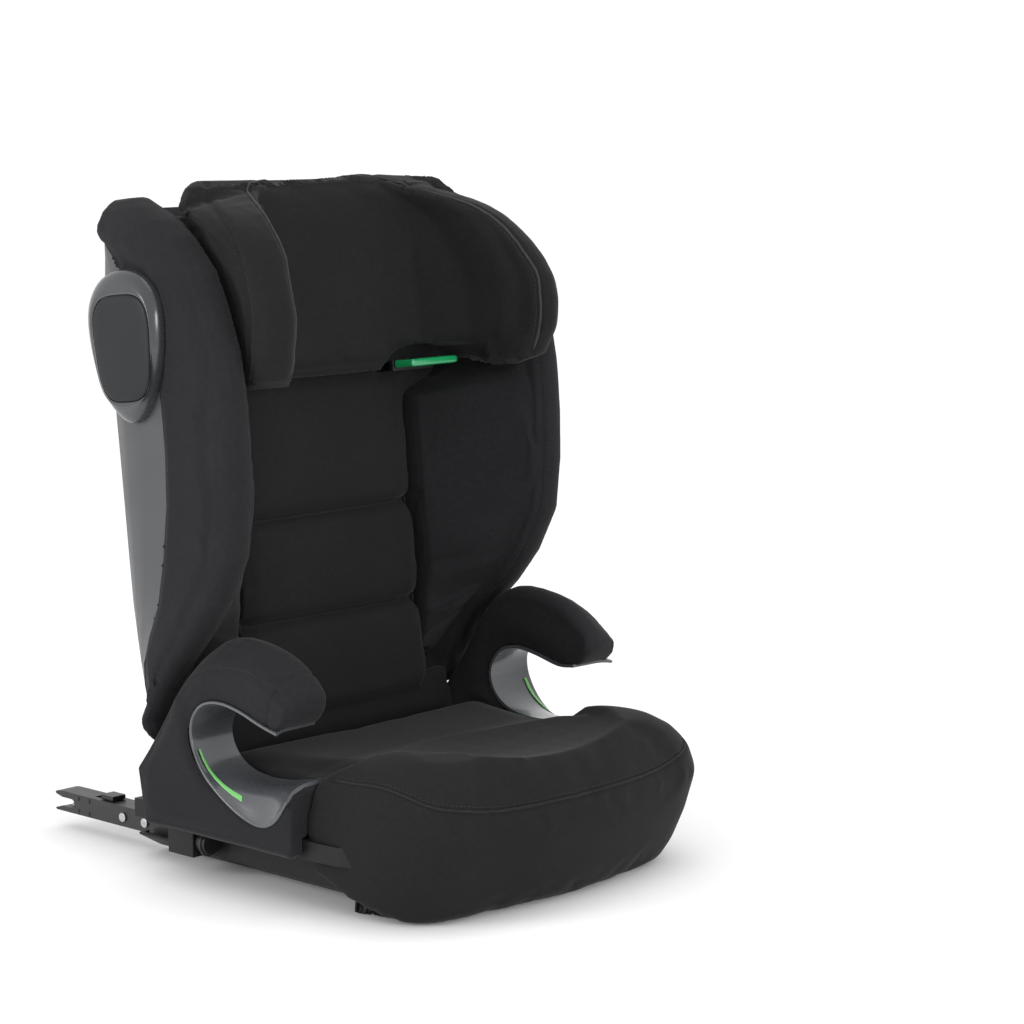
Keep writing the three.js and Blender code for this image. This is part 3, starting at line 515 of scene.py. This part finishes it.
# A piece starts this much inside its solid, because the pressure swells it.
START_INSET = 1.2 * MM
PRESSURE = 4.0
CLOTH_FRAMES = 20
STRETCH_STIFFNESS = 18
SHEAR_STIFFNESS = 8
BEND_STIFFNESS = 1.5
CLOTH_MASS = 0.2
# Share of the room to a neighbour that a piece may take up, and the gap it always leaves.
ROOM_SHARE = 0.45
ROOM_GAP = 0.2 * MM
LEAST_INSET = -0.1 * MM


class Soft:
    """A padded piece grown from its CAD solid: remeshed, blown up as cloth, then sculpted and sewn."""

    def __init__(self, name, node, body, slot, near, voxel, cap, proud, fill, extra=()):
        """Extra meshes are joined to the solid first; voxel, cap and proud are in millimetres."""
        self.node = node
        self.body = body
        self.slot_name = slot
        self.near = near
        self.cap = cap * MM
        self.proud = proud * MM
        self.fill = fill
        mesh = welded_copy(node)
        if extra:
            work = bmesh.new()
            work.from_mesh(mesh)
            for block in extra:
                work.from_mesh(block)
            work.to_mesh(mesh)
            work.free()
        self.piece = add_object(name, mesh, slot)
        voxels = self.piece.modifiers.new("voxels", "REMESH")
        voxels.mode = "VOXEL"
        voxels.voxel_size = voxel * MM
        apply_modifiers(self.piece)
        relax(self.piece.data, 6)
        mesh = self.piece.data
        self.start = read_points(mesh) - read_points(mesh, "normal") * START_INSET
        write_points(mesh, self.start)

    def add_cloth(self):
        cloth = self.piece.modifiers.new("cloth", "CLOTH")
        settings = cloth.settings
        settings.quality = 5
        settings.mass = CLOTH_MASS
        settings.tension_stiffness = STRETCH_STIFFNESS
        settings.compression_stiffness = STRETCH_STIFFNESS
        settings.shear_stiffness = SHEAR_STIFFNESS
        settings.bending_stiffness = BEND_STIFFNESS
        settings.use_pressure = True
        settings.uniform_pressure_force = PRESSURE
        settings.effector_weights.gravity = 0
        cloth.collision_settings.use_collision = False
        cloth.point_cache.frame_start = 1
        cloth.point_cache.frame_end = CLOTH_FRAMES

    def take_cloth(self):
        shown = self.piece.evaluated_get(bpy.context.evaluated_depsgraph_get())
        moved = read_points(shown.to_mesh()) - self.start
        shown.to_mesh_clear()
        self.piece.modifiers.clear()
        length = np.maximum(np.linalg.norm(moved, axis=1, keepdims=True), 1e-9)
        write_points(self.piece.data, self.start + moved * np.minimum(1, self.cap / length))

    def subdivide(self):
        self.piece.modifiers.new("smooth", "SUBSURF").levels = 1
        apply_modifiers(self.piece)
        shade_smooth(self.piece.data)

    def sculpt(self, shape):
        """Moves the points by shape(points, normals), in metres."""
        mesh = self.piece.data
        points = read_points(mesh)
        write_points(mesh, points + shape(points, read_points(mesh, "normal")))

    def groove(self, paths, width, depth):
        """Presses a rounded channel into the piece along the paths."""
        route = np.vstack(paths)

        def press(points, normals):
            near = np.full(len(points), np.inf)
            for start in range(0, len(route), 64):
                part = route[start : start + 64]
                near = np.minimum(near, np.linalg.norm(points[:, None] - part[None], axis=2).min(1))
            fall = np.clip(1 - (near / (width * MM)) ** 2, 0, 1) ** 2
            return -normals * (fall * depth * MM)[:, None]

        self.sculpt(press)

    def fill_out(self, deepest):
        """Brings up the spots that have sunk into the CAD solid by more than that many millimetres."""
        own = surface_tree(self.node)

        def lift(points, _):
            moves = np.zeros_like(points)
            for index, point in enumerate(points):
                place = Vector(point)
                ground, normal, _, gap = own.find_nearest(place)
                if (place - ground).dot(normal) < 0 and gap > deepest * MM:
                    moves[index] = ground - place - normal * (deepest * MM)
            return moves

        self.sculpt(lift)

    def settle(self):
        """Keeps the piece within its CAD solid but for a little puff, and clear of its neighbours."""
        own = surface_tree(self.node)
        others = surface_tree(*self.near)
        mesh = self.piece.data
        points = read_points(mesh)
        for index, point in enumerate(points):
            place = Vector(point)
            ground, normal, _, gap = own.find_nearest(place)
            outside = gap if (place - ground).dot(normal) > 0 else -gap
            room = others.find_nearest(ground)[3]
            allowed = min(self.proud, max(ROOM_SHARE * room - ROOM_GAP, LEAST_INSET))
            if outside > allowed:
                away = (place - ground).normalized() if allowed >= 0 and gap > 1e-7 else normal
                points[index] = ground + away * allowed
        points[:, 2] = np.maximum(points[:, 2], CAD_LOW.z)
        write_points(mesh, points)

    def place(self):
        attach(self.piece, self.body)
        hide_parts(self.node)


def prism(outline, low, high):
    """A closed block with that plan outline, in millimetres."""
    count = len(outline)
    points = [(x * MM, y * MM, z * MM) for z in (low, high) for x, y in outline]
    return mesh_from("prism", points, ring_strip(2, count))


def footprint(half, rear, front, corner, bow, steps=12):
    """A plan outline with round front corners and a bowed front."""

    def bend(a, b, c):
        ts = np.linspace(0, 1, steps, endpoint=False)[:, None]
        a, b, c = (np.array(p, float) for p in (a, b, c))
        return (1 - ts) ** 2 * a + 2 * ts * (1 - ts) * b + ts**2 * c

    left = bend((-half, front + corner), (-half, front + 5), (-half + corner, front))
    middle = bend((-half + corner, front), (0, front - 2 * bow), (half - corner, front))
    right = bend((half - corner, front), (half, front + 5), (half, front + corner))
    rows = np.vstack([[(-half, rear)], left, middle, right, [(half, front + corner), (half, rear)]])
    return [tuple(row) for row in rows]


# How far a wing pad's rear flap is moved inwards, in millimetres, and where that begins and is full.
FLAP_TUCK = 6
FLAP_FROM = (-62, -34)


def thick_flap(node, sign):
    """A copy of a wing pad with its thin rear flap moved inwards, to thicken the flap for the voxels."""
    mesh = welded_copy(node)
    points = read_points(mesh)
    _, y, _ = back_axes(points)
    points[:, 0] -= sign * FLAP_TUCK * MM * smoothstep(y, *FLAP_FROM)
    write_points(mesh, points)
    return mesh


def both(node):
    return [f"{node}_{side}" for side, _ in SIDES]


def mirrored(points):
    return [Vector((-point[0], point[1], point[2])) for point in points]


# The seat cover's hollow, filled from below: the front's upper and lower parts, and the middle.
SEAT_HALF = 168
SEAT_MIDDLE = [(-SEAT_HALF, -100), (SEAT_HALF, -100), (SEAT_HALF, 70), (-SEAT_HALF, 70)]


def make_soft():
    """Every soft piece, keyed by a short name."""
    seat_fill = [
        prism(footprint(203, -83, -176, 78, 10), 50, 70),
        prism(footprint(SEAT_HALF, -97, -184, 60, 10), 5, 70),
        prism(SEAT_MIDDLE, 66, 96),
    ]
    soft = {
        "head": Soft(
            "headrest_cushion", "headrest_pad", "headrest", "fabric",
            ["headrest_shell", "headrest_slider", "back_pad", *both("wing_pad"), *both("belt_guide"),
             *both("belt_guide_carrier")],
            voxel=5.0, cap=6.0, proud=6.0, fill=0.75,
        ),
        "pad": Soft(
            "centre_back_pad", "back_pad", "backrest", "fabric",
            ["back_shell", "headrest_shell", *both("wing_pad"), "seat_cover", "headrest_pad",
             *both("belt_guide_carrier"), *both("belt_guide")],
            voxel=5.0, cap=7.0, proud=6.0, fill=0.6,
        ),
        "seat": Soft(
            "seat_cushion", "seat_cover", "base", "fabric",
            [*both("armrest_cover"), "back_pad", *both("wing_pad"), "underside_tray", *both("belt_insert")],
            voxel=6.0, cap=7.0, proud=5.0, fill=0.7, extra=seat_fill,
        ),
    }
    for side, sign in SIDES:
        soft[f"wing_{side}"] = Soft(
            f"wing_cushion_{side}", f"wing_pad_{side}", "backrest", "side_fabric",
            ["back_shell", "back_pad", "headrest_pad", "headrest_shell", f"impact_pod_{side}",
             f"armrest_cover_{side}", "seat_cover"],
            voxel=5.0, cap=5.0, proud=3.0, fill=0.7, extra=[thick_flap(f"wing_pad_{side}", sign)],
        )
        soft[f"arm_{side}"] = Soft(
            f"armrest_cushion_{side}", f"armrest_cover_{side}", "base", "side_fabric",
            ["base_shell", f"belt_insert_{side}", f"belt_marker_{side}", "seat_cover", f"wing_pad_{side}",
             "back_pad", f"release_housing_{side}"],
            voxel=4.0, cap=4.0, proud=2.5, fill=0.75,
        )
    return soft


def run_cloth(soft):
    """Blows every soft piece up at once."""
    for item in soft.values():
        item.add_cloth()
    for number in range(1, CLOTH_FRAMES + 1):
        bpy.context.scene.frame_set(number)
    for item in soft.values():
        item.take_cloth()
    bpy.context.scene.frame_set(1)


SOFT = make_soft()
run_cloth(SOFT)
for item in SOFT.values():
    item.subdivide()

# ------------------------------------------------------------ seam routes

# The headrest's piped ridge from one wing's foot over the hood to the other's.
RIDGE = [
    (157, -206, 386), (158, -215, 404), (157, -221, 422), (157, -222, 438), (156, -223, 460),
    (149, -213, 485), (146, -203, 500), (142, -192, 515), (134, -173, 529), (120, -146, 545),
    (104, -118, 558), (84, -97, 565), (50, -85, 568),
]
RIDGE_PATH = [on_back(*p) for p in RIDGE] + [on_back(0, -80, 568)]
RIDGE_PATH += mirrored(reversed(RIDGE_PATH[:-1]))

# The seam on the outside of each headrest wing.
HEAD_SIDE = [
    (188, -178, 384), (186, -192, 411), (186, -197, 435), (185, -197, 458), (181, -187, 483),
    (175, -164, 513), (158, -124, 539), (136, -88, 556),
]

# The seat's top panel, round the front from one armrest to the other.
SEAT_PANEL = [
    (-186, -98, 124), (-187, -122, 126), (-185, -152, 127), (-180, -186, 121), (-168, -208, 113),
    (-144, -223, 108), (-110, -230, 103), (-60, -236, 101),
]
SEAT_PATH = [in_frame(*p) for p in SEAT_PANEL] + [in_frame(0, -238, 101)]
SEAT_PATH += mirrored(reversed(SEAT_PATH[:-1]))

# The crease along each armrest's outer top edge, and the seam across its tip.
ARM_EDGE = [
    (218, 62, 178), (218, 38, 199), (217, 14, 207), (217, -12, 210), (215, -36, 205),
    (213, -58, 193), (211, -72, 182),
]
ARM_TIP = [
    (214, -52, 168), (215, -56, 184), (211, -58, 196), (200, -60, 205), (188, -61, 207), (176, -60, 203),
]

# The front seam of each backrest wing, just inside its nose.
WING_EDGE = [
    (196, -66, 108), (186, -96, 140), (186, -134, 176), (186, -170, 228), (186, -184, 298),
    (186, -188, 368), (187, -182, 421), (186, -156, 492), (184, -112, 535),
]

# The centre pad's two sewn channels: their heights, half length and where the front face starts,
# and the depth and half width of the narrow and the wide press that make each one.
CHANNELS = (154, 250)
CHANNEL_HALF = 119
PAD_FRONT = -66
PAD_FACE = (60, 70)
NARROW_PRESS = (9, 6.5)
WIDE_PRESS = (3.5, 22)


def sew(item, name, controls, piping=1.2, stitches=(-4.2,), look="piping", width=5.0, depth=1.6, even=7):
    """A sewn seam: a pressed groove, a cord in it if piping is given, and rows of stitches.

    Each row lies at its own offset to the side of the groove, in millimetres, and the seam's
    route is smoothed over the given number of steps each way as it is drawn onto the surface.
    """
    surface = Surface(item.piece)
    path = curve_points(controls)
    for reach in (even, even // 2, 2):
        path, _ = surface.lay(path, reach)
    item.groove([path], width, depth)
    surface = Surface(item.piece)
    path, normals = surface.lay(path)
    made = []
    if piping:
        made.append(tube(f"{name}_piping", path + normals * piping * 0.35 * MM, normals, piping * MM, look))
    along = unit(np.gradient(path, axis=0))
    across = unit(np.cross(along, normals))
    for number, offset in enumerate(stitches):
        row, facing = surface.lay(path + across * offset * MM)
        made.append(stitch_row(f"{name}_stitches_{number + 1}", row, facing, "thread"))
    for piece in made:
        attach(piece, item.body)


def soften(scale, size):
    """Slow unevenness of padding under cloth."""

    def shape(points, normals):
        a, b, c = (points / (scale * MM)).T
        wave = np.sin(a + 1.3 * np.sin(b)) * np.sin(b * 1.1 + 1.7 * np.sin(c))
        wave = wave + np.sin(c * 1.2 + 0.9 * np.sin(a))
        return normals * (wave * 0.5 * size * MM)[:, None]

    return shape


# Millimetres that the headrest's hood swells by, and that the wings' lower front edges hang down
# and turn inwards by; and how deep a spot of any piece may stay sunk.
HOOD_SWELL = 3
WING_DROP = 4.5
WING_TURN = 5
DEEPEST = 1


def finish_head(item):
    def shape(points, normals):
        x, y, z = back_axes(points)
        # the inside of the wings is padded out towards the ridge
        inside = np.clip((150 - np.abs(x)) / 40, 0, 1)
        swell = HOOD_SWELL * smoothstep(z, 430, 500) * smoothstep(-y, 100, 125) * inside
        # the wings' front edges hang a little lower and further in, in front of the belt guides
        drop = WING_DROP * smoothstep(-y, 132, 160) * (1 - smoothstep(z, 384, 400))
        inward = WING_TURN * smoothstep(-y, 165, 195) * (1 - smoothstep(z, 385, 412))
        moved = normals * (swell * MM)[:, None] - np.outer(drop * MM, BACK_UP)
        moved[:, 0] -= np.sign(x) * inward * MM
        return moved

    item.fill_out(DEEPEST)
    item.sculpt(shape)
    item.sculpt(soften(38, 0.8))
    item.settle()
    sew(item, "headrest_ridge", RIDGE_PATH, piping=1.3, even=16)
    for side, sign in SIDES:
        path = [on_back(sign * x, y, z) for x, y, z in HEAD_SIDE]
        name = f"headrest_side_{side}"
        sew(item, name, path, piping=0, stitches=(-2.6, 2.6), width=7, depth=2.2, even=16)


def finish_pad(item):
    def shape(points, normals):
        _, y, z = back_axes(points)
        front = smoothstep(-y, *PAD_FACE)
        rows = np.minimum.reduce([np.abs(z - level) for level in CHANNELS])
        press = sum(deep * np.exp(-((rows / half) ** 2)) for deep, half in (NARROW_PRESS, WIDE_PRESS))
        return np.outer(front * press * MM, BACK_REAR)

    item.sculpt(shape)
    item.sculpt(soften(45, 0.9))
    item.settle()
    for number, level in enumerate(CHANNELS):
        path = [on_back(x, PAD_FRONT, level) for x in np.linspace(-CHANNEL_HALF, CHANNEL_HALF, 9)]
        sew(item, f"back_channel_{number + 1}", path, piping=0, stitches=(0,), width=5, depth=1.5)


def finish_seat(item):
    item.sculpt(soften(55, 1.2))
    item.settle()
    sew(item, "seat_panel", SEAT_PATH, piping=1.2, look="dark_piping")


def finish_wing(item, sign, side):
    item.fill_out(DEEPEST)
    item.sculpt(soften(48, 0.8))
    item.settle()
    path = [on_back(sign * x, y, z) for x, y, z in WING_EDGE]
    sew(item, f"wing_edge_{side}", path, piping=0, stitches=(-2.4, 2.4), width=6, depth=1.3)


def finish_arm(item, sign, side):
    item.fill_out(DEEPEST)
    item.sculpt(soften(34, 0.6))
    item.settle()
    edge = [in_frame(sign * x, y, z) for x, y, z in ARM_EDGE]
    sew(item, f"armrest_edge_{side}", edge, piping=0, stitches=(2.4 * sign,), width=6, depth=1.4)
    tip = [in_frame(sign * x, y, z) for x, y, z in ARM_TIP]
    sew(item, f"armrest_tip_{side}", tip, piping=0, stitches=(), width=4, depth=1.2)


finish_head(SOFT["head"])
finish_pad(SOFT["pad"])
finish_seat(SOFT["seat"])
for side_name, side_sign in SIDES:
    finish_wing(SOFT[f"wing_{side_name}"], side_sign, side_name)
    finish_arm(SOFT[f"arm_{side_name}"], side_sign, side_name)
for item in SOFT.values():
    item.place()

# --------------------------------------------------------------- hard pieces


# The impact pod's middle, half width and half height, and those of its face, which gets narrower
# below by the taper and has corners of that roundness. All as (y, z) in the backrest's axes.
POD_AT = (-73, 430)
POD_HALF = (48, 76)
POD_FACE_AT = (-76, 421)
POD_FACE_HALF = (37, 47)
POD_FACE_TAPER = 3
POD_FACE_SQUARE = 3.4
POD_STEPS = 96


def pod_outline():
    """The impact pod's egg outline as (y, z) in the backrest's axes."""
    y, z = POD_AT
    w, t = POD_HALF
    corners = [
        ((y - w, z + t * 0.2), (y - w, z + t), (y + w, z + t), (y + w, z + t * 0.2)),
        ((y + w, z + t * 0.2), (y + w, z - t * 0.5), (y + w * 0.4, z - t), (y, z - t)),
        ((y, z - t), (y - w * 0.4, z - t), (y - w, z - t * 0.5), (y - w, z + t * 0.2)),
    ]
    points = []
    for a, b, c, d in corners:
        a, b, c, d = (np.array(p, float) for p in (a, b, c, d))
        for s in np.linspace(0, 1, POD_STEPS // 3, endpoint=False):
            r = 1 - s
            points.append(r**3 * a + 3 * s * r**2 * b + 3 * s**2 * r * c + s**3 * d)
    return np.array(points)


def face_outline():
    """The pod face's outline, in step with the pod's: a rectangle with big round corners."""
    points = []
    for y, z in pod_outline():
        angle = math.atan2(z - POD_FACE_AT[1], y - POD_FACE_AT[0])
        across, up = math.cos(angle), math.sin(angle)
        half = POD_FACE_HALF[0] + POD_FACE_TAPER * up
        shares = (abs(across / half), abs(up / POD_FACE_HALF[1]))
        reach = sum(share**POD_FACE_SQUARE for share in shares) ** (-1 / POD_FACE_SQUARE)
        points.append((POD_FACE_AT[0] + reach * across, POD_FACE_AT[1] + reach * up))
    return np.array(points)


def egg_stack(name, levels, look, sign):
    """A closed body of ring outlines; each level is (x, share of the face's outline, scale)."""
    egg, face = pod_outline(), face_outline()
    points = []
    for x, share, scale in levels:
        ring = egg + (face - egg) * share
        centre = ring.mean(0)
        for y, z in centre + (ring - centre) * scale:
            points.append(on_back(sign * x, y, z))
    mesh = solid_from(name, points, ring_strip(len(levels), len(egg)))
    mesh.set_sharp_from_angle(angle=math.radians(50))
    return add_object(name, mesh, look)


# The rim's and the face's rings from the inside out, as (x, share of the face's outline, scale).
POD_RIM = [
    (202, 0, 0.9), (206, 0, 1.0), (226.5, 0, 1.0), (229.5, 0, 0.985), (232.0, 0.1, 0.97),
    (233.8, 0.3, 0.97), (235.0, 0.55, 0.99), (235.7, 0.8, 1.02), (235.8, 0.95, 1.035), (235.4, 1, 1.02),
    (234.0, 1, 1.012), (233.6, 1, 0.99), (233.6, 1, 0.3),
]
POD_FACE = [
    (233.8, 1, 0.3), (233.8, 1, 0.985), (234.4, 1, 0.998), (235.3, 1, 0.998), (236.0, 1, 0.98),
    (236.5, 1, 0.92), (237.0, 1, 0.75), (237.4, 1, 0.5), (237.7, 1, 0.25), (237.8, 1, 0.02),
]


def make_pods():
    for side, sign in SIDES:
        rim = egg_stack(f"impact_pod_rim_{side}", POD_RIM, "pod_rim", sign)
        face = egg_stack(f"impact_pod_face_{side}", POD_FACE, "pod_face", sign)
        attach(rim, "backrest")
        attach(face, "backrest")
        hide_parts(f"impact_pod_{side}")


# Edge of the armrest's opening, from the hook's tip round to the seat, as (y, z):
# on the armrest's inside, and on its outside.
OPENING_IN = [
    (-62, 163), (-42, 162), (-12, 169), (10, 172), (28, 169), (40, 159), (46, 146),
    (44, 132), (34, 119), (16, 110), (-8, 107), (-30, 108), (-52, 112), (-78, 118),
]
OPENING_OUT = [
    (-67, 161), (-46, 166), (-16, 175), (8, 178), (28, 174), (40, 163), (44, 149),
    (40, 132), (27, 113), (6, 97), (-20, 84), (-44, 79), (-62, 86), (-78, 106),
]
# The lining's section as (x, share of the way out, depth behind its face), round its lip and back.
LINING_FRONT = [
    (170.3, 0, 0), (188, 0.01, 0), (199, 0.08, 0), (207, 0.22, 0), (213, 0.44, 0), (217, 0.69, 0),
    (219.6, 0.95, 0),
]
LINING_LIP = [(220.8, 1.0, 0.1), (221.6, 1.0, 0.7), (221.9, 1.0, 1.5), (221.6, 1.0, 2.3), (220.8, 1.0, 2.9)]
LINING_BACK = [(219.6, 0.98, 3), (213, 0.44, 3), (199, 0.08, 3), (170.3, 0, 3)]
# Spacing of the lining's points along the opening and across it, in millimetres.
LINING_STEP = 2
LINING_ROW = 2.2


def make_linings():
    """The smooth lining that replaces each CAD belt insert."""
    inner, outer = (
        curve_points([(0, y * MM, z * MM) for y, z in edge], LINING_STEP * MM)[:, 1:]
        for edge in (OPENING_IN, OPENING_OUT)
    )
    count = min(len(inner), len(outer))
    spread = np.linspace(0, 1, count)
    inner, outer = (
        np.stack([np.interp(spread, np.linspace(0, 1, len(edge)), edge[:, axis]) for axis in range(2)], 1)
        for edge in (inner, outer)
    )
    front = curve_points(LINING_FRONT, LINING_ROW)
    section = [tuple(row) for row in front] + LINING_LIP + LINING_BACK
    for side, sign in SIDES:
        points = []
        for i in range(count):
            for x, share, depth in section:
                rows = inner + (outer - inner) * share
                along = rows[min(i + 1, count - 1)] - rows[max(i - 1, 0)]
                along /= np.linalg.norm(along)
                y, z = rows[i] + np.array([-along[1], along[0]]) * depth * MM
                points.append((sign * x * MM, y, z))
        mesh = solid_from("lining", points, ring_strip(count, len(section)))
        mesh.set_sharp_from_angle(angle=math.radians(45))
        piece = add_object(f"belt_lining_{side}", mesh, "grey_plastic")
        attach(piece, "base")
        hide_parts(f"belt_insert_{side}")


# Rounded edges as (width, steps); the belt guides' bars are nearly half round.
EDGE_ROUND = (0.5 * MM, 2)
BAR_ROUND = (2.9 * MM, 5)
# Facets that meet at less than the first angle are merged, and at more than the second rounded.
FLAT_ANGLE = math.radians(0.6)
SHARP_ANGLE = math.radians(38)
DARK_NODES = ("base_shell", "underside_tray", "rear_frame", *both("release_housing"))
BARS = both("belt_guide")


def dress(node, look, width, steps):
    """Gives a CAD node its material, welds its facets, and rounds its sharp edges."""
    for slot in node.material_slots:
        slot.material = LOOKS[look]
    shade_smooth(node.data)
    weld = node.modifiers.new("weld", "WELD")
    weld.merge_threshold = 0.002 * MM
    flat = node.modifiers.new("merge_flats", "DECIMATE")
    flat.decimate_type = "DISSOLVE"
    flat.angle_limit = FLAT_ANGLE
    rounded = node.modifiers.new("rounded_edges", "BEVEL")
    rounded.width = width
    rounded.segments = steps
    rounded.limit_method = "ANGLE"
    rounded.angle_limit = SHARP_ANGLE
    node.modifiers.new("even_shading", "WEIGHTED_NORMAL").keep_sharp = True


make_pods()
make_linings()
REPLACED = {item.node for item in SOFT.values()} | {*both("impact_pod"), *both("belt_insert")}
for node_name, node_object in NODES.items():
    if node_name not in REPLACED:
        look_name = node_object.material_slots[0].material.name.split(".")[0]
        if node_name in DARK_NODES:
            look_name = "base_plastic"
        dress(node_object, look_name, *(BAR_ROUND if node_name in BARS else EDGE_ROUND))

# ------------------------------------------------------------ floor and light


FLOOR_HALF = 8
FLOOR_DROP = 0.2 * MM
FLOOR_WHITE = 0.985
WORLD_STRENGTH = 1.04
LIGHT_TOWARDS = Vector((0, 0, 0.3))
# Each light's name, place, diameter and power.
LIGHTS = (
    ("light_left", (-2.5, 0.9, 1.0), 1.1, 27),
    ("light_top", (0.3, -0.2, 2.8), 1.8, 8),
    ("light_front", (-0.7, -2.7, 1.0), 0.9, 22),
)


def area_light(name, place, size, power):
    light = bpy.data.lights.new(name, "AREA")
    light.shape = "DISK"
    light.size = size
    light.energy = power
    made = bpy.data.objects.new(name, light)
    bpy.context.collection.objects.link(made)
    made.location = place
    made.rotation_euler = (LIGHT_TOWARDS - Vector(place)).to_track_quat("-Z", "Y").to_euler()


def make_studio():
    look = Look("floor_paper", Specular_IOR_Level=0.1)
    tone = look.range(look.noise(400.0, 3.0), 0.985, 1.0)
    paper = look.blend(tone, rgb(0, 0, 0), rgb(FLOOR_WHITE, FLOOR_WHITE, FLOOR_WHITE))
    look.finish(paper, 0.9)
    level = CAD_LOW.z - FLOOR_DROP
    corners = [(x * FLOOR_HALF, y * FLOOR_HALF, level) for x, y in ((-1, -1), (1, -1), (1, 1), (-1, 1))]
    floor = bpy.data.objects.new("floor", mesh_from("floor", corners, [(0, 1, 2, 3)]))
    bpy.context.collection.objects.link(floor)
    floor.data.materials.append(look.material)

    world = bpy.data.worlds.new("studio")
    world.use_nodes = True
    background = world.node_tree.nodes["Background"]
    background.inputs["Color"].default_value = rgb(1, 1, 1)
    background.inputs["Strength"].default_value = WORLD_STRENGTH
    bpy.context.scene.world = world
    for light in LIGHTS:
        area_light(*light)
    bpy.context.scene.view_settings.view_transform = "Standard"


make_camera()
make_studio()
